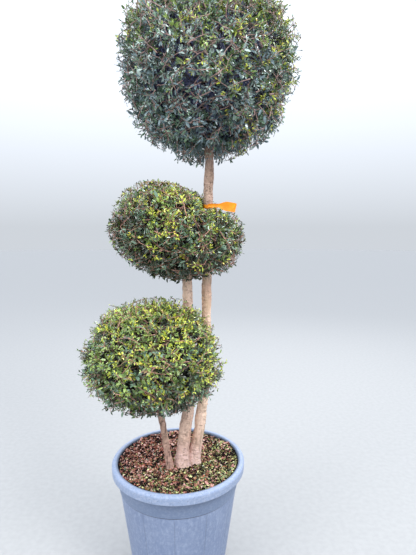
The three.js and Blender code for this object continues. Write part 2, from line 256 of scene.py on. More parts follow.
class Surface(Tree):
    """A material under construction."""

    def __init__(self, name: str) -> None:
        """Starts a material with a plain shader.

        Args:
            name: The material's name.
        """
        self.material = bpy.data.materials.new(name)
        self.material.use_nodes = True
        super().__init__(self.material.node_tree)
        self.place = self.node("ShaderNodeTexCoord", output="Object")

    def noise(self, scale: float, detail: float = 2, stretch: Place = (1, 1, 1)) -> Wire:
        """Noise in the object's own coordinates, finer along the axes that are stretched more."""
        where = self.node("ShaderNodeMapping", inputs={"Vector": self.place, "Scale": stretch})
        return self.node("ShaderNodeTexNoise", inputs={"Vector": where, "Scale": scale, "Detail": detail})

    def axis(self, name: str) -> Wire:
        """The place along one axis. Z is the height above the ground."""
        return self.node("ShaderNodeSeparateXYZ", inputs={0: self.place}, output=name)

    def layered(self, base: Wire | Colour, *layers: tuple[Wire | float, Colour]) -> Wire:
        """Covers a colour with others, one after another.

        Args:
            base: The colour underneath.
            layers: For each colour, the share of what lies under it that it covers, and the colour.

        Returns:
            The colour of the surface.
        """
        for share, colour in layers:
            base = self.node("ShaderNodeMix", {"data_type": "RGBA"}, {0: share, 6: base, 7: colour}, output=2)
        return base

    def bump(self, height: Wire, depth: float) -> Wire:
        """The normal of a surface with relief of a depth in metres."""
        return self.node("ShaderNodeBump", inputs={"Height": height, "Distance": depth}, output="Normal")


@dataclass(frozen=True)
class Finish:
    """What all finishes have: a name, and what they feed to the plain shader."""

    name: str

    def sockets(self, surface: Surface) -> Inputs:
        """What feeds the shader, by socket."""
        raise NotImplementedError

    def make(self) -> Material:
        """Writes the material.

        Returns:
            The material, ready to dress a piece.
        """
        surface = Surface(self.name)
        surface.feed(surface.tree.nodes["Principled BSDF"], self.sockets(surface))
        return surface.material


@dataclass(frozen=True)
class LeafFinish(Finish):
    """A glossy leaf of one plain tint. The tints are dealt out by spray."""

    colour: Colour
    gloss: float = 0.24
    coat: float = 0.85
    coat_roughness: float = 0.1
    vein_depth: float = 0.0006

    def sockets(self, surface: Surface) -> Inputs:
        """Feeds the shader.

        Args:
            surface: The material.

        Returns:
            The plain tint under a thin coat, glossier in places, with fine veins.
        """
        return {
            "Base Color": self.colour,
            "Roughness": self.gloss + surface.noise(70, 1) * 0.2,
            "Coat Weight": self.coat,
            "Coat Roughness": self.coat_roughness,
            "Normal": surface.bump(surface.noise(520, 1), self.vein_depth),
        }


@dataclass(frozen=True)
class TwoToneFinish(Finish):
    """Two tones that change in patches, with a fine grain. edges are the noise at which each tone is full."""

    dark: Colour
    light: Colour
    patch_scale: float = 90
    patch_detail: float = 2
    edges: tuple[float, float] = (0.36, 0.64)
    grain_scale: float = 600
    grain_detail: float = 2
    grain_stretch: Place = (1, 1, 1)
    grain_depth: float = 0.001
    roughness: float = 0.7
    roughness_range: float = 0.25
    shine: float = 0.5

    def tones(self, surface: Surface) -> Wire:
        """The patches of the two tones."""
        patches = surface.noise(self.patch_scale, self.patch_detail)
        return surface.ramp(patches, (self.edges[0], self.dark), (self.edges[1], self.light))

    def sockets(self, surface: Surface) -> Inputs:
        """Feeds the shader.

        Args:
            surface: The material.

        Returns:
            The tones, with a roughness and relief that follow the grain.
        """
        grain = surface.noise(self.grain_scale, self.grain_detail, self.grain_stretch)
        return {
            "Base Color": self.tones(surface),
            "Roughness": self.roughness + grain * self.roughness_range,
            "Specular IOR Level": self.shine,
            "Normal": surface.bump(grain, self.grain_depth),
        }


@dataclass(frozen=True)
class TwigFinish(TwoToneFinish):
    """Thin bark on boughs and twigs, from an older tone to a younger one."""

    patch_scale: float = 38
    patch_detail: float = 3
    edges: tuple[float, float] = (0.36, 0.62)
    grain_scale: float = 420
    grain_depth: float = 0.0008
    roughness: float = 0.55


@dataclass(frozen=True)
class LitterFinish(TwoToneFinish):
    """Bark chips, leaf bits or compost, whose tone changes from bit to bit."""

    shine: float = 0.1


@dataclass(frozen=True)
class LabelFinish(TwoToneFinish):
    """Plain orange plastic film, a little faded in patches."""

    name: str = "label_film"
    dark: Colour = tint(246, 140, 2)
    light: Colour = tint(250, 168, 22)
    patch_scale: float = 60
    edges: tuple[float, float] = (0.4, 0.7)
    grain_scale: float = 900
    grain_detail: float = 1
    grain_stretch: Place = (1, 1, 0.2)
    grain_depth: float = 0.0003
    roughness: float = 0.38
    roughness_range: float = 0.2


@dataclass(frozen=True)
class FloorFinish(TwoToneFinish):
    """A pale, matt studio floor without a grain."""

    name: str = "studio_floor"
    dark: Colour = tint(161, 161, 160)
    light: Colour = tint(166, 166, 165)
    patch_scale: float = 40
    patch_detail: float = 3
    edges: tuple[float, float] = (0.35, 0.65)
    roughness: float = 0.85

    def sockets(self, surface: Surface) -> Inputs:
        """What feeds the shader: the tones alone."""
        return {"Base Color": self.tones(surface), "Roughness": self.roughness}


@dataclass(frozen=True)
class BarkFinish(Finish):
    """Smooth bark: clouds of tone, a pinkish foot, a greenish film higher up, specks and cross marks.

    From one height up a painted light makes it brighter, and from another, where a ball above shades it, a
    painted shade makes it duller.
    """

    pale: Colour
    warm: Colour
    foot: Colour
    film: Colour
    shade: Colour
    speck: Colour
    shade_share: float
    speck_share: float
    mark_share: float = 0.13
    film_share: float = 0.4
    foot_top: float = 0.56
    foot_fade: float = 0.09
    # painted shade: a duller tone where a ball above shades the bark
    dusk: Colour = tint(142, 114, 108)
    dusk_from: float = 1.36
    # painted light: a brighter tone from a height up, against the shade of a ball above
    bright: Colour = tint(255, 236, 214)
    painted_light_from: float = 9.0
    shine: float = 0.3
    relief_depth: float = 0.007

    def sockets(self, surface: Surface) -> Inputs:
        """Feeds the shader.

        Args:
            surface: The material.

        Returns:
            The layers of the bark's colour, from the clouds up to the specks, and its relief.
        """
        height = surface.axis("Z")
        clouds = surface.noise(14, 4, (1, 1, 0.6))
        patches = surface.noise(26, 3, (1, 1, 0.5))
        streaks = surface.noise(90, 4, (1, 1, 0.14))
        marks = surface.noise(44, 4, (0.8, 0.8, 1.7))
        specks = surface.noise(150, 3)
        flakes = surface.noise(110, 3, (1, 1, 0.7))
        wrinkles = surface.noise(62, 4, (0.45, 0.45, 2.6))
        near_foot = 1 - height.band(self.foot_top - self.foot_fade, self.foot_top)
        brighter = height.band(self.painted_light_from - 0.1, self.painted_light_from + 0.05)
        shadow = height.band(self.dusk_from, self.dusk_from + 0.3)
        shadow_edge = height.band(self.dusk_from, self.dusk_from + 0.08)
        colour = surface.layered(
            surface.ramp(clouds, (0.4, self.warm), (0.6, self.pale)),
            # painted light against the shade of the ball above
            (brighter * 0.8, self.bright),
            (near_foot * (0.45 + flakes.band(0.42, 0.6) * 0.5), self.foot),
            (patches.band(0.42, 0.66) * (1 - near_foot) * self.film_share, self.film),
            # painted shade under the ball above
            (shadow * 0.35 + shadow_edge * clouds * 0.7, self.dusk),
            (streaks.band(0.5, 0.72) * self.shade_share, self.shade),
            (marks.band(0.52, 0.76) * self.mark_share, self.shade),
            (specks.band(0.61, 0.7) * self.speck_share, self.speck),
        )
        rough = streaks * 0.4 + marks * 0.5 - specks.band(0.55, 0.7) * 0.4
        relief = rough + patches * 0.4 + flakes * 0.6 + wrinkles * 0.55
        return {
            "Base Color": colour,
            "Roughness": 0.6 + clouds * 0.25,
            "Specular IOR Level": self.shine,
            "Normal": surface.bump(relief, self.relief_depth),
        }


@dataclass(frozen=True)
class TubFinish(Finish):
    """Blue-grey moulded plastic with upright scuffs, a paler lip, grime low down, darker panel lines, and
    painted shade on the band, on the lip's inner edge and in the steps under the lip and the band.
    """

    name: str = "tub_plastic"
    body: Colour = tint(114, 129, 159)
    worn: Colour = tint(143, 156, 181)
    lip: Colour = tint(144, 159, 187)
    chalk: Colour = tint(186, 192, 206)
    # painted shade: the band under the lip is darker, as in the lip's shadow
    band: Colour = tint(106, 122, 149)
    # painted shade: the lip's inner edge is darkened, which leaves a pale crest
    inner: Colour = tint(84, 98, 118)
    # grime, and the painted shadows in the steps under the band and the lip
    dirt_and_shadow: Colour = tint(70, 70, 74)
    crest_radius: float = 0.248
    lip_from: float = 0.414
    lip_to: float = 0.42
    band_from: float = 0.3505
    soiled_to: float = 0.12
    panels: int = 12
    line_width: float = 0.0011
    relief_depth: float = 0.0009

    def sockets(self, surface: Surface) -> Inputs:
        """Feeds the shader.

        Args:
            surface: The material.

        Returns:
            The layers of the tub's colour, from the worn body up to the grime and the painted shade, and its
            scuffs.
        """
        height, x, y = (surface.axis(name) for name in "ZXY")
        streaks = surface.noise(60, 3, (1, 1, 0.05))
        blotches = surface.noise(7, 3)
        grain = surface.noise(300, 2)
        scuffs = surface.noise(130, 4, (1, 1, 0.4))
        bloom = surface.noise(110, 5, (1, 1, 1.3))
        in_band = height.band(self.band_from - 0.0005, self.band_from + 0.0005)
        on_lip = height.band(self.lip_from, self.lip_to)
        inside = 1 - (x * x + y * y).band((self.crest_radius - 0.008) ** 2, self.crest_radius**2)
        low = (1 - height.band(0.0, self.soiled_to)) * blotches.band(0.3, 0.65)
        patchy = streaks.band(0.4, 0.7) * 0.2 + blotches.band(0.35, 0.7) * 0.3 + scuffs.band(0.45, 0.7) * 0.5
        colour = surface.layered(
            self.body,
            (patchy, self.worn),
            # painted shade of the lip on the band
            (in_band * 0.8, self.band),
            (on_lip * (0.75 + streaks * 0.3), self.lip),
            ((0.12 + on_lip * 0.2) * bloom.band(0.4, 0.7), self.chalk),
            # painted shade on the lip's inner edge
            (inside * on_lip * 0.8, self.inner),
            # grime low down, darker panel lines, and painted shadows under the band and the lip
            (low * 0.45 + self._dark_lines_and_painted_shadows(height, x.angle(y)) * 0.55, self.dirt_and_shadow),
            (grain.band(0.6, 0.72) * (0.2 + on_lip * 0.3), self.dirt_and_shadow),
        )
        return {
            "Base Color": colour,
            "Roughness": 0.42 + blotches * 0.22,
            "Normal": surface.bump(grain * 0.5 + scuffs * (1 + on_lip), self.relief_depth),
        }

    def _dark_lines_and_painted_shadows(self, height: Wire, turn: Wire) -> Wire:
        """Where the tub is darker: along the upright panel lines, and in a painted shadow in the steps under
        the band and the lip.

        Args:
            height: The height above the ground.
            turn: The angle round the tub from +X.

        Returns:
            How dark it is there.
        """
        panel = turn * (self.panels / math.tau) + (self.panels / 4 + 0.5)
        off_line = (panel.fraction() - 0.5).size() * (math.tau / self.panels)
        below_band = 1 - height.band(self.band_from - 0.012, self.band_from - 0.002)
        lines = (1 - off_line.band(self.line_width, 0.012)) * below_band * height.band(0.01, 0.04)
        # painted shadows: a dark line in the step under the band, and one under the lip
        step = 1 - (height - self.band_from + 0.0012).size().band(0.0006, 0.0026)
        tuck = 1 - (height - self.lip_from + 0.001).size().band(0.0018, 0.0052)
        return lines * 0.45 + step * 1.4 + tuck * 1.3


class Recipe(Tree):
    """A geometry node tree that turns a base object into a plain mesh."""

    SPENT = ("along", "face", "size", "shape", "girth")

    def __init__(self, name: str) -> None:
        """Starts a tree with a geometry and a finish as its inputs.

        Args:
            name: The tree's name.
        """
        super().__init__(bpy.data.node_groups.new(name, "GeometryNodeTree"))
        for way in ("INPUT", "OUTPUT"):
            self.tree.interface.new_socket("Geometry", in_out=way, socket_type="NodeSocketGeometry")
        self.base = self.node("NodeGroupInput")
        self.finish = self.input("Finish", "Material")

    def input(self, name: str, kind: str) -> Wire:
        """A named input of the tree."""
        self.tree.interface.new_socket(name, in_out="INPUT", socket_type=f"NodeSocket{kind}")
        return Wire(self, self.base.socket.node.outputs[name])

    def attribute(self, name: str, kind: str) -> Wire:
        """A named attribute of what the tree is given."""
        return self.node("GeometryNodeInputNamedAttribute", {"data_type": kind}, {"Name": name})

    def random(self, low: float, high: float, seed: int) -> Wire:
        """A random number for each point."""
        given = {2: low, 3: high, "Seed": seed}
        return self.node("FunctionNodeRandomValue", {"data_type": "FLOAT"}, given, 1)

    def end(self, geometry: Wire, smooth: bool) -> None:
        """Ends the tree: instances made real, shaded and given their finish.

        Args:
            geometry: What the tree has made.
            smooth: Whether its faces are shaded smooth.
        """
        real = self.node("GeometryNodeRealizeInstances", inputs={"Geometry": geometry})
        shaded = self.node("GeometryNodeSetShadeSmooth", inputs={"Geometry": real, "Shade Smooth": smooth})
        dressed = self.node("GeometryNodeSetMaterial", inputs={"Geometry": shaded, "Material": self.finish})
        self.feed(self.tree.nodes.new("NodeGroupOutput"), {"Geometry": dressed})

    def cook(self, piece: Piece, values: Mapping[str, object]) -> Piece:
        """Runs the tree on an object.

        Args:
            piece: What the tree is given.
            values: The tree's inputs, by name.

        Returns:
            The same object with what the tree makes of it, a plain mesh with its place in its vertices.
        """
        modifier = piece.modifiers.new(self.tree.name, "NODES")
        modifier.node_group = self.tree
        for item in self.tree.interface.items_tree:
            if item.name in values:
                modifier[item.identifier] = values[item.name]
        apply_modifiers(piece)
        attributes = piece.data.attributes
        for spent in [attribute.name for attribute in attributes if attribute.name in self.SPENT]:
            attributes.remove(attributes[spent])
        return piece


def mesh_from(name: str, points: Array, faces: Sequence[Face], edges: Array | Sequence = ()) -> Piece:
    """Makes a new object at the origin.

    Args:
        name: The name of the piece.
        points: Its points.
        faces: Its faces, as the numbers of their corners.
        edges: Its edges, where it has no faces.

    Returns:
        The object, linked to the scene.
    """
    mesh = bpy.data.meshes.new(name)
    mesh.from_pydata(np.asarray(points).reshape(-1, 3).tolist(), np.asarray(edges).tolist(), list(faces))
    piece = bpy.data.objects.new(name, mesh)
    bpy.context.scene.collection.objects.link(piece)
    return piece


def apply_modifiers(piece: Piece) -> None:
    """Gives a piece the plain mesh that its modifiers make, and removes them.

    Args:
        piece: The piece.
    """
    seen = piece.evaluated_get(bpy.context.evaluated_depsgraph_get())
    mesh = bpy.data.meshes.new_from_object(seen)
    piece.modifiers.clear()
    piece.data = mesh


def store(piece: Piece, name: str, kind: str, values: Array) -> None:
    """Stores an attribute on a mesh's points.

    Args:
        piece: The mesh's object.
        name: The attribute's name.
        kind: Its type.
        values: Its values, in the order of the points.
    """
    attribute = piece.data.attributes.new(name, kind, "POINT")
    key = "vector" if kind == "FLOAT_VECTOR" else "value"
    attribute.data.foreach_set(key, np.ascontiguousarray(values).ravel())


def woven_faces(rows: int, columns: int, closed: bool = True) -> list[Face]:
    """The faces between rows of points.

    Args:
        rows: The number of rows.
        columns: The number of points in each.
        closed: Whether the rows are rings.

    Returns:
        The faces, row by row.
    """
    faces = []
    for low in range(0, (rows - 1) * columns, columns):
        high = low + columns
        for here in range(columns if closed else columns - 1):
            there = (here + 1) % columns
            faces.append((low + here, low + there, high + there, high + here))
    return faces


def tube_faces(rows: int, columns: int) -> list[Face]:
    """The faces of a tube of rings of points, closed by a flat face at each end."""
    every = range(rows * columns)
    return [*woven_faces(rows, columns), tuple(every[:columns])[::-1], tuple(every[-columns:])]


class Shell:
    """Points and faces that are gathered part by part into one mesh."""

    def __init__(self) -> None:
        """Starts with nothing."""
        self.points: list[Array] = []
        self.faces: list[Face] = []

    def add(self, points: Array, faces: Sequence[Face]) -> None:
        """Adds a part.

        Args:
            points: Its points.
            faces: Its faces, as the numbers of its own points.
        """
        start = sum(len(part) for part in self.points)
        self.points.append(np.asarray(points).reshape(-1, 3))
        self.faces += [tuple(start + corner for corner in face) for face in faces]

    def piece(self, name: str) -> Piece:
        """The mesh of all the parts."""
        return mesh_from(name, np.vstack(self.points), self.faces)


def dress(piece: Piece, replaced: str, finish: Finish | None = None) -> None:
    """Gives a piece its finish and its place in the frame.

    Args:
        piece: The piece.
        replaced: The solid that it stands for.
        finish: Its finish, where it has none yet.
    """
    if finish:
        piece.data.materials.clear()
        piece.data.materials.append(finish.make())
    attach(piece, ROOT)
    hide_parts(replaced)
    LOG.info("%s: %d faces for %s", piece.name, len(piece.data.polygons), replaced)


def smooth(piece: Piece, sharpest: float | None = None) -> None:
    """Shades a piece smooth.

    Args:
        piece: The piece.
        sharpest: The angle in degrees past which an edge stays sharp, where it has such edges.
    """
    piece.data.shade_smooth()
    if sharpest:
        piece.data.set_sharp_from_angle(angle=math.radians(sharpest))


@dataclass(frozen=True)
class Knot:
    """A scar or knob on a stem: its height, where it faces in degrees from +X, its size and its rise."""

    height: float
    facing: float
    size: float
    rise: float


@dataclass
class Stem:
    """A bare stem: a tapering limb along a smooth line, with a flared foot, knots and fine relief.

    lumps are noises that raise the bark: for each its rise, and how fine it is across and upwards.
    """

    node: str
    centreline: Sequence[Place]
    foot_radius: float
    tip_radius: float
    flare: float
    toes: int
    finish: BarkFinish
    knots: Sequence[Knot] = ()
    stubs: Sequence[Knot] = ()
    flare_height: float = 0.028
    toe_depth: float = 0.5
    taper_height: float = 0.26
    early_share: float = 0.75
    sunk: float = 0.012
    columns: int = 64
    ring_spacing: float = 0.0045
    ridge_rise: float = 0.0011
    lumps: Sequence[tuple[float, float, float]] = (
        (0.0034, 24, 14),
        (0.0019, 80, 60),
        (0.0005, 40, 105),
        (0.0004, 260, 90),
    )
    stub_sides: int = 8
    stub_lean: float = 0.55
    stub_shape: Sequence[tuple[float, float]] = ((0, 1.25), (0.4, 1.0), (0.85, 0.85), (1.0, 0.6))
    line: Array = field(init=False)

    def __post_init__(self) -> None:
        """Draws the centreline."""
        self.line = smooth_path(self.centreline)

    @property
    def bottom(self) -> float:
        """The height of the foot."""
        return self.centreline[0][2]

    @property
    def top(self) -> float:
        """The height of the tip."""
        return self.centreline[-1][2]

    def middle(self, heights: Array | float) -> Array:
        """The middle of the stem at some heights."""
        sides = [np.interp(heights, self.line[:, 2], self.line[:, axis]) for axis in (0, 1)]
        return np.stack([*sides, heights], axis=-1)

    def radius(self, heights: Array | float) -> Array:
        """The stem's radius without the flare of its foot.

        Args:
            heights: Where it is measured.

        Returns:
            The radius at each height.
        """
        above = np.clip(heights - self.bottom, 0, self.top - self.bottom)
        early = 1 - np.exp(-above / self.taper_height)
        share = self.early_share * early + (1 - self.early_share) * above / (self.top - self.bottom)
        return self.foot_radius + (self.tip_radius - self.foot_radius) * share

    def near(self, points: Array, clearance: float) -> Array:
        """Finds what lies too near to the stem.

        Args:
            points: The points to test.
            clearance: The least distance from the bark.

        Returns:
            Whether each point is nearer than that.
        """
        heights = points[..., 2]
        away = np.linalg.norm(points[..., :2] - self.middle(heights)[..., :2], axis=-1)
        return (away < self.radius(heights) + clearance) & (heights < self.top + clearance)

    def relief(self, point: Array, angle: float) -> float:
        """How far the bark stands out at a point: lumps, upright ridges and knots.

        Args:
            point: The point on the plain stem.
            angle: Where it is round the stem, in radians from +X.

        Returns:
            The height of the relief.
        """
        x, y, height = point
        rise = self.ridge_rise * noise.noise(Vector((math.cos(angle) * 5, math.sin(angle) * 5, height * 9)))
        for lump, across, up in self.lumps:
            rise += lump * noise.noise(Vector((x * across, y * across, height * up)))
        for knot in self.knots:
            turn = math.remainder(angle - math.radians(knot.facing), math.tau) * self.foot_radius
            away = math.hypot(turn, height - knot.height) / knot.size
            if away < 3:
                rise += knot.rise * (math.exp(-away * away) - 0.75 * math.exp(-6 * away * away))
                rise += 0.0004 * math.sin(9 * away) * math.exp(-away)
        return rise

    def skin(self) -> Array:
        """Shapes the bark.

        Returns:
            Its points, in level rings from just under the compost to the tip.
        """
        count = int((self.top - self.bottom) / self.ring_spacing)
        heights = np.linspace(self.bottom - self.sunk, self.top, count)
        angles = turns(self.columns)
        middles = self.middle(heights)
        above = np.maximum(heights - self.bottom, 0)
        toes = 1 + self.toe_depth * np.cos(self.toes * angles + 1)
        flare = self.flare * np.exp(-above / self.flare_height)[:, None] * toes
        radii = self.radius(heights)[:, None] + flare
        plain = middles[:, None] + round_axis(angles, radii, 0.0)
        relief = [[self.relief(point, angle) for point, angle in zip(row, angles)] for row in plain]
        return middles[:, None] + round_axis(angles, radii + np.array(relief), 0.0)

    def stub(self, stub: Knot) -> Array:
        """Shapes a short cut side twig that stands out of the bark.

        Args:
            stub: Its place, size and length.

        Returns:
            Its points, in rings from its root to its tip.
        """
        angle = math.radians(stub.facing)
        out = unit(np.array([math.cos(angle), math.sin(angle), self.stub_lean]))
        side = unit(np.cross(out, (0, 0, 1)))
        lift = np.cross(side, out)
        root = self.middle(stub.height) + out * (self.radius(stub.height) * 0.7)
        round_stub = turns(self.stub_sides)[:, None]
        ring = np.cos(round_stub) * side + np.sin(round_stub) * lift
        length = self.foot_radius * 0.3 + stub.rise
        rings = [root + out * (length * far) + ring * (stub.size * wide) for far, wide in self.stub_shape]
        return np.vstack(rings)

    def build(self) -> None:
        """Makes and dresses the stem."""
        shell = Shell()
        skin = self.skin()
        shell.add(skin, tube_faces(len(skin), self.columns))
        stub_faces = tube_faces(len(self.stub_shape), self.stub_sides)
        del stub_faces[-2]  # its root, which is inside the bark
        for stub in self.stubs:
            shell.add(self.stub(stub), stub_faces)
        piece = shell.piece(f"{self.node}_bark")
        smooth(piece)
        dress(piece, self.node, self.finish)


PALE_BARK = BarkFinish(
    "pale_bark",
    pale=tint(247, 215, 192),
    warm=tint(222, 184, 160),
    foot=tint(242, 208, 200),
    film=tint(184, 164, 128),
    shade=tint(134, 106, 90),
    speck=tint(84, 62, 52),
    shade_share=0.46,
    speck_share=0.34,
)
FAIR_BARK = BarkFinish(
    "fair_bark",
    pale=tint(232, 200, 180),
    warm=tint(202, 166, 146),
    foot=tint(222, 190, 182),
    film=tint(188, 168, 134),
    shade=tint(134, 106, 90),
    speck=tint(84, 62, 52),
    speck_share=0.38,
    shade_share=0.22,
    film_share=0.12,
    # painted light on the middle stem's top, in the shade of the middle ball
    bright=tint(255, 220, 198),
    painted_light_from=0.95,
)
BROWN_BARK = BarkFinish(
    "brown_bark",
    pale=tint(214, 176, 156),
    warm=tint(164, 128, 112),
    foot=tint(188, 152, 138),
    film=tint(132, 114, 96),
    shade=tint(84, 70, 66),
    speck=tint(50, 40, 38),
    shade_share=0.85,
    speck_share=0.85,
)


def make_stems() -> dict[str, Stem]:
    """Sizes the three stems. Their lines are those of the solids.

    Returns:
        The stems, by name.
    """
    return {
        "tall": Stem(
            node="tall_stem",
            centreline=(
                (0.059, 0.003, 0.4253), (0.064, 0.003, 0.47), (0.076, 0.002, 0.53),
                (0.088, 0.001, 0.605), (0.099, 0.001, 0.7), (0.108, 0.002, 0.9), (0.112, 0.002, 1.12),
                (0.116, 0.002, 1.25), (0.117, 0.0, 1.44), (0.121, 0.0, 1.6), (0.121, 0.0, 1.655),
            ),
            foot_radius=0.023,
            tip_radius=0.0165,
            flare=0.006,
            toes=3,
            finish=PALE_BARK,
            knots=(
                Knot(0.547, -110, 0.014, 0.005),
                Knot(0.62, -70, 0.011, 0.0034),
                Knot(0.69, 20, 0.012, 0.0036),
                Knot(1.13, -150, 0.008, 0.002),
                Knot(1.474, 8, 0.009, 0.004),
                Knot(1.54, -95, 0.008, 0.0018),
            ),
            stubs=(
                Knot(0.577, -8, 0.0035, 0.006),
                Knot(0.495, -5, 0.0028, 0.012),
                Knot(0.655, 10, 0.003, 0.005),
            ),
        ),
        "middle": Stem(
            node="middle_stem",
            centreline=(
                (0.018, -0.017, 0.4253), (0.018, -0.015, 0.48), (0.026, -0.01, 0.56),
                (0.038, -0.008, 0.65), (0.042, -0.006, 0.8), (0.04, -0.008, 1.0), (0.037, -0.01, 1.195),
            ),
            foot_radius=0.026,
            tip_radius=0.018,
            flare=0.007,
            toes=4,
            finish=FAIR_BARK,
            knots=(
                Knot(0.596, -130, 0.014, 0.0065),
                Knot(0.538, -80, 0.009, 0.0036),
                Knot(0.63, -30, 0.011, 0.003),
                Knot(0.665, -95, 0.013, 0.003),
                Knot(1.11, -60, 0.009, 0.0022),
            ),
            stubs=(Knot(0.606, -140, 0.003, 0.004),),
        ),
        "low": Stem(
            node="low_stem",
            centreline=(
                (-0.031, -0.038, 0.4253), (-0.046, -0.042, 0.53), (-0.058, -0.05, 0.62),
                (-0.072, -0.062, 0.692),
            ),
            foot_radius=0.013,
            tip_radius=0.011,
            flare=0.002,
            toes=3,
            finish=BROWN_BARK,
            knots=(
                Knot(0.47, -60, 0.006, 0.0015),
                Knot(0.555, -120, 0.006, 0.0018),
                Knot(0.6, -40, 0.005, 0.0015),
            ),
            columns=40,
        ),
    }


class Tone(Enum):
    """The tints of leaves, from the painted shade of a ball's depths to the youngest tips."""

    SHADE = 0
    DUSK = 1
    SLATE = 2
    MIST = 3
    DEEP = 4
    JADE = 5
    GREEN = 6
    FRESH = 7
    LIME = 8
    GOLD = 9


TONE_COLOURS = {
    # The two darkest tints are painted shade for the inner leaves: near-black in the lower balls, and a hazy
    # blue in the top ball.
    Tone.SHADE: tint(25, 29, 22),
    Tone.DUSK: tint(106, 112, 152),
    # SLATE and MIST, the blue-greys of the top ball, are partly the leaves' own tint and partly a painted sky
    # sheen and haze.
    Tone.SLATE: tint(112, 134, 138),
    Tone.MIST: tint(176, 197, 188),
    Tone.DEEP: tint(60, 74, 54),
    Tone.JADE: tint(104, 134, 108),
    Tone.GREEN: tint(104, 130, 66),
    Tone.FRESH: tint(150, 176, 88),
    Tone.LIME: tint(200, 210, 72),
    Tone.GOLD: tint(230, 212, 84),
}


@dataclass
class Limbs:
    """Branches of one order: curves with the same number of steps, and their radius at each."""

    points: Array
    girths: Array

    @property
    def leans(self) -> Array:
        """The direction of growth at each step."""
        return unit(np.gradient(self.points, axis=1))

    @property
    def lengths(self) -> Array:
        """The length of each branch."""
        return np.linalg.norm(np.diff(self.points, axis=1), axis=2).sum(axis=1)

    def at(self, shares: Array) -> tuple[Array, Array]:
        """Finds a place on each branch.

        Args:
            shares: How far along it the place is, as a share of its length.

        Returns:
            The points, and the directions of growth there.
        """
        steps = self.points.shape[1] - 1
        place = np.clip(shares, 0, 1) * steps
        low = np.minimum(place.astype(int), steps - 1)
        part = (place - low)[:, None]
        index = np.arange(len(self.points))
        points = self.points[index, low] * (1 - part) + self.points[index, low + 1] * part
        return points, unit(self.points[index, low + 1] - self.points[index, low])

    def only(self, chosen: Array) -> "Limbs":
        """The chosen branches."""
        return Limbs(self.points[chosen], self.girths[chosen])


@dataclass(frozen=True)
class Order:
    """One order of branching: its number, where the branches end in the ball, their steps, bend and radii.

    clump is how far they end nearer or further in groups, gaps the share that is left open, long the share of
    long shoots and furthest the share of the reach that none goes past.
    """

    count: int
    ends: tuple[float, float]
    steps: int
    bend: float
    root: float
    tip: float
    clump: float = 0
    gaps: float = 0
    long: float = 0
    furthest: float = 1.1


@dataclass
class Leaves:
    """Leaves that wait to be placed: where each is rooted, where it points and faces, its length and tone."""

    base: Array
    along: Array
    face: Array
    length: Array
    tone: Array

    @staticmethod
    def joined(parts: Sequence["Leaves"]) -> "Leaves":
        """All the parts as one."""
        return Leaves(*(np.concatenate(group) for group in zip(*(vars(part).values() for part in parts))))

    def only(self, chosen: Array) -> "Leaves":
        """The chosen leaves."""
        return Leaves(*(values[chosen] for values in vars(self).values()))


@dataclass(frozen=True)
class LeafShape:
    """One outline of a leaf of unit length along +X: its half-width, fold along the midrib and bend.

    outline gives places along the leaf with their share of the half-width. A bent leaf has two on a side.
    """

    half_width: float
    fold: float
    bend: float = 0
    outline: Sequence[tuple[float, float]] = ((0.14, 0.66), (0.4, 1), (0.72, 0.78))

    def build(self, name: str) -> Piece:
        """Makes the leaf. Its halves are flat where the tip isn't bent.

        Args:
            name: The name of its object.

        Returns:
            The leaf, which isn't in the scene.
        """
        points = [(0.0, 0.0, 0.0), (1.0, 0.0, -self.bend)]
        faces: list[Face] = [(0, 1, 4, 3, 2), (0, 5, 6, 7, 1)]
        if self.bend:
            points.append((0.5, 0.0, self.bend * 0.4))
            faces = [(0, 2, 3), (2, 4, 3), (2, 1, 4), (0, 5, 2), (2, 5, 6), (2, 6, 1)]
        for side in (1, -1):
            for place, share in self.outline:
                half = self.half_width * share
                points.append((place, side * half, half * self.fold - self.bend * place * 0.3))
        leaf = mesh_from(name, points, faces)
        bpy.context.scene.collection.objects.unlink(leaf)
        return leaf


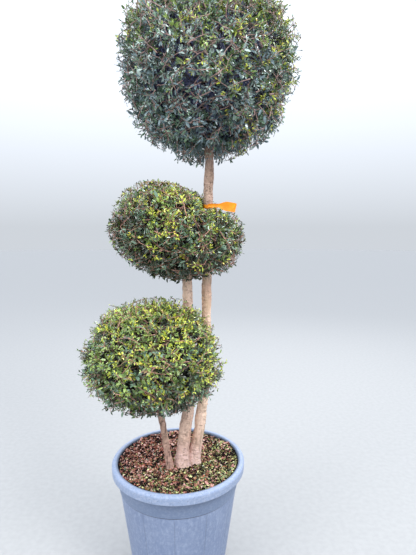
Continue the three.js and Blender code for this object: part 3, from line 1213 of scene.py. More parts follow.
class Pruner:
    """The shared kit that turns rules into foliage: leaf shapes and the two geometry node trees."""

    SHAPES = (
        LeafShape(0.235, 0.28),
        LeafShape(0.205, 0.5),
        LeafShape(0.25, 0.2, 0.12, ((0.3, 1), (0.68, 0.86))),
    )

    def __init__(self) -> None:
        """Makes the leaf shapes and writes the trees."""
        self.shapes = bpy.data.collections.new("leaf_shapes")
        for index, shape in enumerate(self.SHAPES):
            self.shapes.objects.link(shape.build(f"leaf_{index}"))
        self.spray_recipe = self._write_spray_recipe()
        self.twig_recipe = self._write_twig_recipe()

    @staticmethod
    def _write_spray_recipe() -> Recipe:
        """Writes the tree that sets a leaf on each point, turned and sized by the point's attributes.

        Returns:
            The tree.
        """
        recipe = Recipe("sprays_of_leaves")
        shapes = recipe.input("Leaf shapes", "Collection")
        width = recipe.input("Width", "Float")
        picked = {"Collection": shapes, "Separate Children": True, "Reset Children": True}
        axes = {
            "Primary Axis": recipe.attribute("along", "FLOAT_VECTOR"),
            "Secondary Axis": recipe.attribute("face", "FLOAT_VECTOR"),
        }
        size = recipe.attribute("size", "FLOAT")
        placed = {
            "Points": recipe.base,
            "Instance": recipe.node("GeometryNodeCollectionInfo", inputs=picked),
            "Pick Instance": True,
            "Instance Index": recipe.attribute("shape", "INT"),
            "Rotation": recipe.node(
                "FunctionNodeAxesToRotation", {"primary_axis": "X", "secondary_axis": "Z"}, axes
            ),
            "Scale": recipe.node("ShaderNodeCombineXYZ", inputs={"X": size, "Y": size * width, "Z": size}),
        }
        recipe.end(recipe.node("GeometryNodeInstanceOnPoints", inputs=placed), smooth=False)
        return recipe

    @staticmethod
    def _write_twig_recipe() -> Recipe:
        """Writes the tree that turns chains of edges into round, tapering twigs.

        Returns:
            The tree.
        """
        recipe = Recipe("tapering_twigs")
        ring = {"Resolution": recipe.input("Sides", "Int"), "Radius": 1.0}
        swept = {
            "Curve": recipe.node("GeometryNodeMeshToCurve", inputs={"Mesh": recipe.base}),
            "Profile Curve": recipe.node("GeometryNodeCurvePrimitiveCircle", inputs=ring),
            "Scale": recipe.attribute("girth", "FLOAT"),
            "Fill Caps": True,
        }
        recipe.end(recipe.node("GeometryNodeCurveToMesh", inputs=swept), smooth=True)
        return recipe

    def twigs(self, name: str, orders: Sequence[Limbs], sides: int, bark: Material) -> Piece:
        """Turns branches into one mesh of round twigs.

        Args:
            name: The name of the piece.
            orders: The branches, order by order.
            sides: The number of sides of a twig.
            bark: Its material.

        Returns:
            The piece.
        """
        points, girths, edges = [], [], []
        start = 0
        for limbs in orders:
            chains = start + np.arange(limbs.girths.size).reshape(limbs.girths.shape)
            edges.append(np.stack([chains[:, :-1].ravel(), chains[:, 1:].ravel()], axis=1))
            points.append(limbs.points.reshape(-1, 3))
            girths.append(limbs.girths.ravel())
            start += limbs.girths.size
        base = mesh_from(name, np.vstack(points), (), np.vstack(edges))
        store(base, "girth", "FLOAT", np.concatenate(girths))
        return self.twig_recipe.cook(base, {"Finish": bark, "Sides": sides})

    def leaves(self, name: str, leaves: Leaves, width: float, material: Material) -> Piece:
        """Turns waiting leaves into one mesh.

        Args:
            name: The name of the piece.
            leaves: The leaves.
            width: The share of their shapes' width that they have.
            material: Their material.

        Returns:
            The piece.
        """
        base = mesh_from(name, leaves.base, ())
        store(base, "along", "FLOAT_VECTOR", leaves.along)
        store(base, "face", "FLOAT_VECTOR", leaves.face)
        store(base, "size", "FLOAT", leaves.length)
        store(base, "shape", "INT", np.arange(len(leaves.base), dtype=np.int32) % len(self.SHAPES))
        return self.spray_recipe.cook(base, {"Finish": material, "Leaf shapes": self.shapes, "Width": width})

    def clear_away(self) -> None:
        """Removes the leaf shapes that the meshes were made from."""
        for leaf in list(self.shapes.objects):
            bpy.data.objects.remove(leaf)
        bpy.data.collections.remove(self.shapes)


@dataclass(frozen=True)
class Swell:
    """Where a ball swells or is hollow: its direction, half-width in radians, and rise and bareness."""

    direction: Place
    width: float
    rise: float
    bare: float = 0

    def nearness(self, directions: Array) -> Array:
        """How near directions are to the place: 1 in its middle, next to nothing outside it."""
        off = np.arccos(np.clip(directions @ unit(self.direction), -1, 1)) / self.width
        return np.exp(-off * off)


@dataclass(frozen=True)
class Spray:
    """How a shoot carries its leaves: pairs at most, their spacing and length, how loosely and how varied."""

    pairs: int
    spacing: float
    leaf: float
    looseness: float = 0.3
    variety: float = 0.22


@dataclass
class Ball:
    """A clipped ball of foliage that grows on from the tip of its stem.

    lump_height and lump_mean are shares of its reach, and trunk_share is how far up the trunk runs. Leafy
    shoots end nearer or further in clumps, and gap_share of them is left out. proud is how far leaves may
    stand out of the solids' box, and long_shoot how far past the ball's reach. open_spaces stay clear for the
    label.
    """

    node: str
    centre: Place
    half_size: Place
    tilt: float
    seed: int
    stem: Stem
    passed_by: Sequence[Stem]
    shoots: int
    tones: Mapping[Tone, float]
    young_share: float
    bare_twigs: int
    swells: Sequence[Swell] = ()
    light: Place = (0.45, -0.25, 0.85)
    young_side: Place = (0.45, -0.25, 0.85)
    lump_height: float = 0.03
    lump_mean: float = 0.4
    clump_depth: float = 0.05
    gap_share: float = 0.16
    trunk_share: float = 0.35
    trunk_sway: Place = (0.012, -0.008, 0)
    trunk_steps: int = 10
    shade_tone: Tone = Tone.SHADE
    bough_bark: TwigFinish = TwigFinish("bough_bark", tint(96, 80, 70), tint(140, 116, 98))
    twig_bark: TwigFinish = TwigFinish("twig_bark", tint(104, 84, 68), tint(148, 122, 98))
    bare_bark: TwigFinish = TwigFinish("bare_twig_bark", tint(124, 89, 78), tint(194, 146, 127))
    leaf_width: float = 0.88
    twig_lengths: tuple[float, float] = (0.025, 0.08)
    twig_girths: tuple[float, float] = (0.0006, 0.0018)
    twig_depths: tuple[float, float] = (0.87, 0.965)
    twig_limit: float = 1.035
    fork_chance: float = 0.55
    kink: float = 0.19
    outer: Spray = Spray(5, 0.0088, 0.0188, 0.45)
    inner: Spray = Spray(4, 0.013, 0.03)
    sparse: Spray = Spray(3, 0.0095, 0.019)
    first_opening: float = 32
    more_opening: float = 8
    stalk: float = 0.001
    missing_share: float = 0.08
    golden_share: float = 0.38
    growth: Sequence[float] = (0.55, 0.8, 1.0)
    long_shoot: float = 0.03
    long_share: float = 0.26
    proud: Place = (0.015, 0.008, 0.012)
    stem_clearance: float = 0.003
    leaf_clearance: float = 0.005
    tip_clearance: float = 0.001
    open_spaces: Sequence[tuple[Place, Place]] = (
        ((0.09, -0.03, 1.396), (0.232, 0.01, 1.46)),
        ((0.1, -0.27, 1.426), (0.235, -0.03, 1.5)),
        ((0.148, -0.27, 1.409), (0.235, -0.03, 1.5)),
    )
    rng: np.random.Generator = field(init=False)

    def __post_init__(self) -> None:
        """Starts the ball's own random numbers."""
        self.rng = np.random.default_rng(self.seed)

    @property
    def space(self) -> tuple[Array, Array]:
        """The lowest and the highest corner that a leaf may reach."""
        low, high = (np.array(corner) for corner in CAD_BOX)
        return low - self.proud, high + self.proud

    def reach(self, directions: Array) -> Array:
        """How far the outermost leaves reach: an ellipsoid with lumps, swells and hollows.

        Args:
            directions: Directions from the centre.

        Returns:
            The reach in each of them.
        """
        x, y, z = directions[..., 0], directions[..., 1], directions[..., 2]
        cosine, sine = math.cos(-self.tilt), math.sin(-self.tilt)
        tx, ty, tz = x * cosine + z * sine, y, z * cosine - x * sine
        a, b, c = self.half_size
        smooth = 1 / np.sqrt((tx / a) ** 2 + (ty / b) ** 2 + (tz / c) ** 2)
        broad = np.sin(3.4 * tx + self.seed) * np.cos(3.9 * ty - self.seed)
        fine = 0.6 * np.sin(6.1 * tz + 4.3 * tx + 2 * self.seed)
        reach = smooth * (1 + self.lump_height * (broad + fine - self.lump_mean))
        for swell in self.swells:
            reach = reach * (1 + swell.rise * swell.nearness(directions))
        return reach

    def bareness(self, directions: Array) -> Array:
        """How bare of leafy shoots the ball is in each direction."""
        bare = [swell.bare * swell.nearness(directions) for swell in self.swells]
        return sum(bare, np.zeros(len(directions)))

    def at(self, directions: Array, shares: Array | float) -> Array:
        """Points at a share of the reach in each direction."""
        return np.array(self.centre) + directions * (self.reach(directions) * shares)[..., None]

    def clouds(self, directions: Array, fineness: float, layer: int) -> Array:
        """Smooth random values over the ball, in a layer of their own.

        Args:
            directions: Directions from the centre.
            fineness: How small the clouds are.
            layer: The number of the layer.

        Returns:
            Values from about -1 to 1.
        """
        shift = Vector((self.seed * 7.3 + layer * 31.7, layer * 5.1, 0))
        return np.array([noise.noise(Vector(d) * fineness + shift) for d in directions]) * 1.8

    def blocked(self, points: Array, clearance: float) -> Array:
        """Finds what would touch a stem that passes through, or hide the label.

        Args:
            points: The points to test.
            clearance: The least distance.

        Returns:
            Whether each point is nearer than that.
        """
        hit = np.zeros(points.shape[:-1], dtype=bool)
        for stem in (self.stem, *self.passed_by):
            hit |= stem.near(points, clearance)
        for low, high in np.array(self.open_spaces):
            hit |= np.all((points > low - clearance) & (points < high + clearance), axis=-1)
        return hit

    def trunk(self) -> Limbs:
        """Grows the stem's own end, which runs on up into the ball.

        Returns:
            The trunk, an order of one limb.
        """
        foot = self.stem.middle(self.stem.top)
        crown = np.array(self.centre) + np.array([0, 0, self.half_size[2] * self.trunk_share])
        share = np.linspace(0, 1, self.trunk_steps)[:, None]
        points = foot + (crown - foot) * share + np.array(self.trunk_sway) * np.sin(share * 5) * share
        girths = np.linspace(self.stem.tip_radius, self.stem.tip_radius * 0.5, self.trunk_steps)
        return Limbs(points[None], girths[None])

    def branch_ends(self, order: Order) -> tuple[Array, Array]:
        """Chooses where the branches of an order end.

        Args:
            order: Their number and ends.

        Returns:
            The ends, and the direction of each from the centre.
        """
        rng = self.rng
        scatter = rng.normal(0, 0.6 / math.sqrt(order.count), (order.count, 3))
        out = unit(spread_directions(order.count) + scatter)
        shaded = np.maximum(-out @ unit(self.light), 0)
        out = out[self.clouds(out, 11, 1) > -1 + order.gaps * (2 + 1.6 * shaded + 6 * self.bareness(out))]
        count = len(out)
        shares = rng.uniform(*order.ends, count) + order.clump * self.clouds(out, 6.5, 2)
        shares += (rng.uniform(0, 1, count) < order.long) * rng.uniform(0.02, 0.14, count)
        return np.clip(self.at(out, np.minimum(shares, order.furthest)), *self.space), out

    def branch(self, parents: Limbs, order: Order) -> tuple[Limbs, Array]:
        """Grows one order of branches, each from the nearest place on its parents.

        Args:
            parents: The branches that they grow from.
            order: Their number, ends, steps, bend and radii.

        Returns:
            The branches, and the direction in the ball of each one's end.
        """
        rng = self.rng
        ends, out = self.branch_ends(order)
        joints = parents.points[:, 2:].reshape(-1, 3)
        leans = parents.leans[:, 2:].reshape(-1, 3)
        girths = parents.girths[:, 2:].ravel()
        batches = (slice(start, start + 400) for start in range(0, len(out), 400))
        nearest = np.concatenate([self._nearest(ends[batch], out[batch], joints) for batch in batches])
        start = joints[nearest]
        span = np.linalg.norm(ends - start, axis=1)[:, None]
        middle = (start + ends) / 2 + (leans[nearest] * 0.22 - out * 0.04) * span
        middle += rng.normal(0, order.bend, middle.shape) * span
        t = np.linspace(0, 1, order.steps)[None, :, None]
        points = start[:, None] * (1 - t) ** 2 + middle[:, None] * 2 * t * (1 - t) + ends[:, None] * t**2
        wobble = rng.normal(0, order.bend * 0.3, points.shape) * span[:, None] * np.sin(math.pi * t)
        root = np.minimum(order.root, girths[nearest] * 0.85)[:, None]
        taper = np.linspace(0, 1, order.steps)[None]
        limbs = Limbs(points + wobble, root + (np.minimum(order.tip, root) - root) * taper)
        clear = ~self.blocked(limbs.points[:, 1:], self.stem_clearance).any(axis=1)
        return limbs.only(clear), out[clear]

    @staticmethod
    def _nearest(ends: Array, out: Array, joints: Array) -> Array:
        """Finds the joint that each end grows from: the nearest one that lies inward of it.

        Args:
            ends: The ends.
            out: The direction of each from the ball's centre.
            joints: The places that they may grow from.

        Returns:
            The number of each one's joint.
        """
        gaps = ends[:, None] - joints[None]
        distance = np.linalg.norm(gaps, axis=2)
        inward = np.einsum("ijk,ik->ij", gaps, out)
        return np.argmin(distance + 1.6 * np.maximum(0.35 * distance - inward, 0), axis=1)

    def deal_tones(self, out: Array) -> Array:
        """Deals each spray a tone. Sprays that face the light are more often pale and those turned from it
        more often dark, a painted light and shade.

        Args:
            out: The direction of each spray from the centre.

        Returns:
            The values of their tones.
        """
        lit = out @ unit(self.light)
        draw = self.rng.uniform(0, 1, len(out)) + 0.5 * lit - 0.16 + 0.16 * self.clouds(out, 5, 3)
        places = np.searchsorted(np.cumsum(list(self.tones.values()))[:-1], np.clip(draw, 0, 0.999))
        return np.array([tone.value for tone in self.tones])[places]

    def deal_youth(self, out: Array) -> Array:
        """Deals out young yellow tips. They come in groups, more of them on the sunny side.

        Args:
            out: The direction of each shoot from the centre.

        Returns:
            Which shoots have them.
        """
        lit = out @ unit(self.young_side)
        draw = self.rng.normal(0, 0.25, len(out)) + 1.6 * self.clouds(out, 7.5, 4) + 1.0 * lit
        return draw > np.quantile(draw, 1 - self.young_share)

    def leaves_on(self, shoots: Limbs, out: Array, spray: Spray, tones: Array, young: Array) -> Leaves:
        """The leaves of shoots: opposite pairs, each turned a quarter from the last, and small at the tip.

        Args:
            shoots: The shoots.
            out: The direction in the ball of each one's end.
            spray: How they carry their leaves.
            tones: The tone of each shoot's leaves.
            young: Which shoots have young tips.

        Returns:
            The leaves.
        """
        rng = self.rng
        count = len(out)
        lengths = shoots.lengths
        shaded = -out @ unit(self.light)
        vigour = np.exp(rng.normal(0, spray.variety, count) + 0.25 * self.clouds(out, 9, 5) + 0.3 * shaded)
        vigour = np.where(young, np.clip(vigour, 0.7, 0.95), np.clip(vigour, 0.6, 1.6))
        tips = shoots.points[:, -1] - np.array(self.centre)
        apart = smooth_share(np.linalg.norm(tips, axis=1) / self.reach(unit(tips)), 0.94, 1.02)
        spacing = spray.spacing * vigour * rng.uniform(0.8, 1.25, count) * (1 + 0.7 * apart)
        spin = rng.uniform(0, math.tau, count)
        golden = rng.uniform(0, 1, count) < self.golden_share
        tip_tones = (
            np.where(golden, Tone.GOLD.value, Tone.LIME.value),
            np.full(count, Tone.LIME.value),
            np.where(golden, Tone.LIME.value, tones),
        )
        parts = []
        for pair in range(spray.pairs):
            behind = spacing * (pair + 0.1)
            points, lean = shoots.at(1 - behind / lengths)
            first = unit(np.cross(lean, out + 0.01))
            second = np.cross(lean, first)
            turn = (spin + pair * math.pi / 2 + rng.normal(0, 0.25, count))[:, None]
            across = first * np.cos(turn) + second * np.sin(turn)
            growth = self.growth[min(pair, len(self.growth) - 1)]
            pair_tones = np.where(young, tip_tones[pair], tones) if pair < len(tip_tones) else tones
            mean_opening = np.radians(self.first_opening + self.more_opening * pair)
            for side in (1, -1):
                opening = (mean_opening + rng.normal(0, 0.2, count))[:, None]
                along = unit(across * side * np.sin(opening) + lean * np.cos(opening))
                up = np.array([0, 0, 0.7]) + 0.7 * out + rng.normal(0, spray.looseness, (count, 3))
                face = unit(up - along * np.sum(up * along, axis=1)[:, None])
                length = spray.leaf * growth * vigour * rng.uniform(0.85, 1.15, count) * (1 - 0.12 * apart)
                kept = (behind < lengths * 0.9) & (rng.uniform(0, 1, count) > self.missing_share)
                leaves = Leaves(points + along * self.stalk, along, face, length, pair_tones)
                parts.append(leaves.only(kept))
        return Leaves.joined(parts)

    def prune(self, leaves: Leaves) -> Leaves:
        """Drops the leaves that would touch a stem, hide the label or stand out of the ball's space.

        Args:
            leaves: All the leaves.

        Returns:
            Those that are kept.
        """
        middle = leaves.base + leaves.along * leaves.length[:, None] * 0.5
        tips = leaves.base + leaves.along * leaves.length[:, None]
        dropped = self.blocked(middle, self.leaf_clearance)
        for end in (leaves.base, tips):
            dropped |= self.blocked(end, self.tip_clearance)
        outward = tips - np.array(self.centre)
        dropped |= np.linalg.norm(outward, axis=1) > self.reach(unit(outward)) + self.long_shoot
        low, high = self.space
        dropped |= np.any((tips < low) | (tips > high), axis=1)
        return leaves.only(~dropped)

    def bare(self) -> tuple[Limbs, Array]:
        """Grows old clipped twigs near the surface: straight, mostly level, with pairs of short forks.

        Returns:
            The twigs, and the direction of each from the centre.
        """
        rng = self.rng
        curves, outs = [], []
        for _ in range(self.bare_twigs):
            out = unit(rng.normal(0, 1, 3))
            level = np.cross(out, (0, 0, 1)) * rng.choice((-1, 1))
            lean = unit(level + np.array([0, 0, rng.normal(0.2, 0.9)]) + out * rng.normal(0.25, 0.4))
            length = rng.uniform(*self.twig_lengths)
            twig = self._straggle(self.at(out, rng.uniform(*self.twig_depths)), lean, length)
            curves.append(twig)
            outs.append(out)
            across = unit(np.cross(lean, rng.normal(0, 1, 3)))
            for side in (1, -1):
                if rng.uniform() < self.fork_chance:
                    turn = rng.uniform(0.6, 1.1)
                    aside = unit(lean * math.cos(turn) + across * side * math.sin(turn) + out * 0.15)
                    joint = twig[int(rng.integers(1, len(twig) - 1))]
                    curves.append(self._straggle(joint, aside, length * rng.uniform(0.25, 0.55)))
                    outs.append(out)
        points = np.array(curves)
        root = rng.uniform(*self.twig_girths, len(curves))[:, None]
        limbs = Limbs(points, root * np.linspace(1, 0.6, points.shape[1])[None])
        clear = ~self.blocked(points, self.stem_clearance).any(axis=1)
        return limbs.only(clear), np.array(outs)[clear]

    def _straggle(self, root: Array, lean: Array, length: float, joints: int = 5) -> Array:
        """Grows a twig of straight pieces with a small kink at each joint, kept inside the ball.

        Args:
            root: Where it starts.
            lean: The direction in which it starts.
            length: Its length.
            joints: The number of its points.

        Returns:
            Its points.
        """
        kinks = np.cumsum(self.rng.normal(0, self.kink, (joints - 1, 3)), axis=0)
        pieces = unit(lean + kinks) * length / (joints - 1)
        points = root + np.vstack([np.zeros(3), np.cumsum(pieces, axis=0)])
        outward = points - np.array(self.centre)
        share = np.linalg.norm(outward, axis=1) / self.reach(unit(outward))
        return np.array(self.centre) + outward * np.minimum(1, self.twig_limit / share)[:, None]

    def build(self, pruner: Pruner, finishes: "Foliage") -> None:
        """Grows, prunes and dresses the ball.

        Args:
            pruner: What turns branches and leaves into meshes.
            finishes: The finishes of leaves and twigs.
        """
        size, clump = self.shoots, self.clump_depth
        outermost = Order(size, (0.82, 0.95), 4, 0.07, 0.0015, 0.0008, clump, self.gap_share, self.long_share)
        trunk = self.trunk()
        boughs, _ = self.branch(trunk, Order(16, (0.4, 0.52), 8, 0.05, 0.0075, 0.0042))
        branches, _ = self.branch(boughs, Order(size // 42, (0.62, 0.74), 7, 0.06, 0.004, 0.0024))
        twigs, _ = self.branch(branches, Order(size // 7, (0.76, 0.85), 6, 0.07, 0.0022, 0.0014, clump))
        shoots, out = self.branch(twigs, outermost)
        shade, shade_out = self.branch(branches, Order(size // 3, (0.5, 0.8), 3, 0.06, 0.001, 0.0006))
        bare, bare_out = self.bare()
        grown = [len(order.points) for order in (boughs, twigs, shoots)]
        LOG.info("%s: %d boughs, %d twigs, %d shoots", self.node, *grown)
        # the inner leaves take a painted shade tone
        dark = np.full(len(shade_out), self.shade_tone.value)
        plain = np.zeros(len(shade_out), dtype=bool)
        sets = [
            self.leaves_on(shoots, out, self.outer, self.deal_tones(out), self.deal_youth(out)),
            self.leaves_on(shade, shade_out, self.inner, dark, plain),
            self.leaves_on(bare, bare_out, self.sparse, self.deal_tones(bare_out), self.deal_youth(bare_out)),
        ]
        leaves = self.prune(Leaves.joined(sets))
        for name, orders, sides, bark in (
            ("boughs", [trunk, boughs, branches], 8, self.bough_bark),
            ("twigs", [twigs, shoots, shade], 3, self.twig_bark),
            ("bare_twigs", [bare], 4, self.bare_bark),
        ):
            wood = pruner.twigs(f"{self.node}_{name}", orders, sides, finishes.bark(bark))
            dress(wood, self.node)
        for tone in Tone:
            name = f"{self.node}_leaves_{tone.name.lower()}"
            chosen = leaves.only(leaves.tone == tone.value)
            if len(chosen.base):
                sprays = pruner.leaves(name, chosen, self.leaf_width, finishes.tones[tone])
                dress(sprays, self.node)


class Foliage:
    """The finishes that the balls share."""

    def __init__(self) -> None:
        """Makes a finish for each tone."""
        self.tones: dict[Tone, Material] = {}
        for tone, colour in TONE_COLOURS.items():
            self.tones[tone] = LeafFinish(f"leaf_{tone.name.lower()}", colour).make()
        self.barks: dict[TwigFinish, Material] = {}

    def bark(self, finish: TwigFinish) -> Material:
        """Makes the material of a twig's finish, once.

        Args:
            finish: The finish.

        Returns:
            Its material.
        """
        if finish not in self.barks:
            self.barks[finish] = finish.make()
        return self.barks[finish]


def make_balls(stems: Mapping[str, Stem]) -> list[Ball]:
    """Sizes the three balls. Their sizes are those of the solids.

    Args:
        stems: The stems, by name.

    Returns:
        The balls, from the top down.
    """
    return [
        Ball(
            node="top_ball",
            centre=(0.113, 0.0, 1.925),
            half_size=(0.318, 0.312, 0.318),
            tilt=0,
            seed=14,
            stem=stems["tall"],
            passed_by=(),
            shoots=4600,
            tones={Tone.SLATE: 0.14, Tone.JADE: 0.35, Tone.MIST: 0.23, Tone.GREEN: 0.13, Tone.FRESH: 0.15},
            young_share=0.11,
            bare_twigs=1250,
            twig_lengths=(0.03, 0.1),
            twig_girths=(0.0009, 0.0022),
            leaf_width=0.84,
            clump_depth=0.065,
            gap_share=0.19,
            shade_tone=Tone.DUSK,
            twig_bark=TwigFinish("cool_twig_bark", tint(100, 88, 84), tint(146, 130, 124)),
            bare_bark=TwigFinish("cool_bare_twig_bark", tint(116, 94, 91), tint(186, 153, 144)),
            light=(0.1, -0.35, 0.9),
            young_side=(0.75, -0.3, 0.4),
            swells=(
                Swell((-0.95, -0.2, 0.2), 0.6, -0.035, 0.3),
                Swell((-0.28, -0.8, -0.58), 0.15, -0.06, 0.8),
                Swell((-0.02, -0.8, -0.62), 0.15, -0.06, 0.8),
                Swell((0.2, -0.68, -0.74), 0.18, -0.04, 0.7),
                Swell((0.1, -0.42, -0.9), 0.3, -0.02, 0.75),
            ),
        ),
        Ball(
            node="middle_ball",
            centre=(0.012, -0.02, 1.344),
            half_size=(0.252, 0.24, 0.174),
            tilt=0.13,
            seed=29,
            stem=stems["middle"],
            passed_by=(stems["tall"],),
            shoots=2900,
            tones={Tone.DEEP: 0.34, Tone.JADE: 0.28, Tone.GREEN: 0.2, Tone.FRESH: 0.18},
            young_share=0.15,
            bare_twigs=640,
            twig_lengths=(0.03, 0.12),
            outer=Spray(5, 0.0083, 0.0172, 0.5),
            light=(0.2, -0.3, 0.9),
            swells=(
                Swell((0.62, -0.2, 0.78), 0.62, -0.32),
                Swell((-0.6, 0.0, 0.8), 0.5, 0.07),
                Swell((-0.1, -0.88, -0.48), 0.22, -0.05, 0.7),
            ),
        ),
        Ball(
            node="low_ball",
            centre=(-0.093, -0.08, 0.875),
            half_size=(0.264, 0.254, 0.22),
            tilt=-0.05,
            seed=47,
            stem=stems["low"],
            passed_by=(stems["middle"], stems["tall"]),
            shoots=3300,
            tones={Tone.DEEP: 0.27, Tone.JADE: 0.18, Tone.GREEN: 0.24, Tone.FRESH: 0.31},
            young_share=0.15,
            bare_twigs=700,
            clump_depth=0.075,
            gap_share=0.19,
            light=(0.0, -0.35, 0.9),
            young_side=(0.5, -0.35, 0.75),
            swells=(
                Swell((-0.72, -0.3, -0.6), 0.62, -0.11),
                Swell((-1.0, -0.1, 0.15), 0.5, -0.045),
                Swell((0.35, -0.25, -0.9), 0.5, -0.11),
                Swell((-0.15, -0.4, -0.9), 0.45, -0.09),
                Swell((-0.12, -0.93, 0.26), 0.12, -0.06, 0.7),
                Swell((-0.05, -0.8, -0.5), 0.25, -0.04, 0.6),
            ),
        ),
    ]


@dataclass
class Tub:
    """The round plastic tub: a tapered wall with faint panel lines, a plain band and a thick rolled lip.

    rounds are the shares of the base's radius at which its flat rounds have a ring of points.
    """

    node: str = "pot"
    height: float = 0.45
    rim_radius: float = 0.26
    base_radius: float = 0.18
    taper: float = 0.141
    wall: float = 0.005
    floor: float = 0.007
    rounds: Sequence[float] = (0.1, 0.4, 0.58, 0.76)
    foot_rounding: float = 0.006
    lip_height: float = 0.034
    lip_rounding: float = 0.009
    lip_overhang: float = 0.003
    lip_tuck: float = 0.003
    band_height: float = 0.065
    band_step: float = 0.002
    panels: int = 12
    panel_depth: float = 0.0007
    panel_half_angle: float = 0.55
    drains: int = 6
    drain_radius: float = 0.009
    drain_circle: float = 0.12
    drain_sides: int = 24
    drain_spare: float = 0.005
    sharpest: float = 32

    @property
    def lip_bottom(self) -> float:
        """The height of the lip's underside."""
        return self.height - self.lip_height

    @property
    def band_bottom(self) -> float:
        """The height of the band's lower edge."""
        return self.lip_bottom - self.band_height

    def outside(self, height: float, step: float = 0) -> tuple[float, float]:
        """A point of the profile on the outer wall, or a step out from it."""
        return self.base_radius + self.taper * height + step, height

    @staticmethod
    def arc(middle: tuple[float, float], radius: float, span: tuple[float, float], count: int) -> list:
        """Points of an arc in the profile.

        Args:
            middle: Its middle, as radius and height in the tub.
            radius: Its own radius.
            span: The angles of its ends, in degrees.
            count: The number of points.

        Returns:
            The points, as radius and height.
        """
        angles = np.radians(np.linspace(*span, count))
        return [(middle[0] + radius * math.cos(a), middle[1] + radius * math.sin(a)) for a in angles]

    def profile(self) -> list[tuple[float, float]]:
        """Draws the wall's section.

        Returns:
            Its points as radius and height, from the middle of the underside round to the floor inside.
        """
        lip, band, step, wall = self.lip_bottom, self.band_bottom, self.band_step, self.wall
        foot, lip_round = self.foot_rounding, self.lip_rounding
        crest = self.height - lip_round
        mouth = self.outside(lip)[0] - wall + self.lip_overhang
        face = self.rim_radius
        inner_round = lip_round * 0.7
        return [
            *((self.base_radius * share, 0.0) for share in (*self.rounds, 0.9)),
            *self.arc((self.base_radius - foot, foot), foot, (-90, -8), 5),
            *(self.outside(z) for z in np.linspace(0.014, band - 0.004, 9)),
            (self.outside(band, -0.0006)[0], band - 0.001),
            (self.outside(band, step)[0], band + 0.0006),
            *(self.outside(z, step) for z in np.linspace(band + 0.004, lip - 0.003, 5)),
            (self.outside(lip, step)[0], lip - 0.0004),
            self.outside(lip, step + 0.004),
            (face - self.lip_tuck - 0.002, lip),
            *self.arc((face - self.lip_tuck, lip + 0.002), 0.002, (-60, 0), 3),
            (face - self.lip_tuck * 0.5, lip + 0.012),
            (face - 0.0004, crest - 0.008),
            *self.arc((face - lip_round, crest), lip_round, (0, 90), 7),
            *self.arc((mouth + inner_round, crest + lip_round * 0.3), inner_round, (90, 180), 6),
            (mouth, lip + 0.004),
            (self.outside(lip, -wall)[0], lip - 0.001),
            *(self.outside(z, -wall) for z in np.linspace(lip - 0.03, self.floor + 0.004, 5)),
            self.outside(self.floor, -wall - 0.004),
            *((self.base_radius * share, self.floor) for share in self.rounds[::-1]),
        ]

    def angles(self) -> Array:
        """The angles of the columns in degrees: close together across each panel line, wider between them.

        Returns:
            The angles, from the line that faces the viewer.
        """
        pitch = 360 / self.panels
        close = [self.panel_half_angle * k for k in (-2, -1, -0.5, 0, 0.5, 1, 2)]
        offsets = [*close, *np.linspace(3, pitch - 3, 11)]
        return np.array([-90 + panel * pitch + offset for panel in range(self.panels) for offset in offsets])

    def wall_points(self) -> Array:
        """Turns the profile round, with the panel lines pressed into the wall below the band.

        Returns:
            The points, ring by ring.
        """
        radii, heights = np.array(self.profile()).T[:, :, None]
        angles = self.angles()
        pitch = 360 / self.panels
        off_line = np.abs((angles + 90 + pitch / 2) % pitch - pitch / 2)
        line = np.exp(-((off_line / self.panel_half_angle) ** 2))
        band = self.band_bottom
        ends = smooth_share(heights, 0.01, 0.03) * (1 - smooth_share(heights, band - 0.02, band - 0.003))
        pressed = (radii >= self.outside(heights)[0] - 0.0008) & (heights < band)
        return round_axis(np.radians(angles), radii - self.panel_depth * ends * pressed * line, heights)

    def build(self) -> None:
        """Makes and dresses the tub."""
        points = self.wall_points()
        piece = mesh_from("tub", points, tube_faces(*points.shape[:2]))
        self.cut_drains(piece)
        smooth(piece, self.sharpest)
        dress(piece, self.node, TubFinish())

    def cut_drains(self, piece: Piece) -> None:
        """Cuts the round drain holes through the floor.

        Args:
            piece: The tub.
        """
        heights = np.array([[-self.drain_spare], [self.floor + self.drain_spare]])
        hole = round_axis(turns(self.drain_sides), self.drain_radius, heights)
        shell = Shell()
        for middle in round_axis(turns(self.drains), self.drain_circle, 0.0):
            shell.add(middle + hole, tube_faces(2, self.drain_sides))
        cutter = shell.piece("drain_cutter")
        modifier = piece.modifiers.new("drains", "BOOLEAN")
        modifier.operation = "DIFFERENCE"
        modifier.solver = "EXACT"
        modifier.object = cutter
        apply_modifiers(piece)
        bpy.data.objects.remove(cutter)


class Bit(Enum):
    """What lies on the compost, with the word for it in the pieces' names."""

    CHIP = "chip"
    LEAF = "bit"


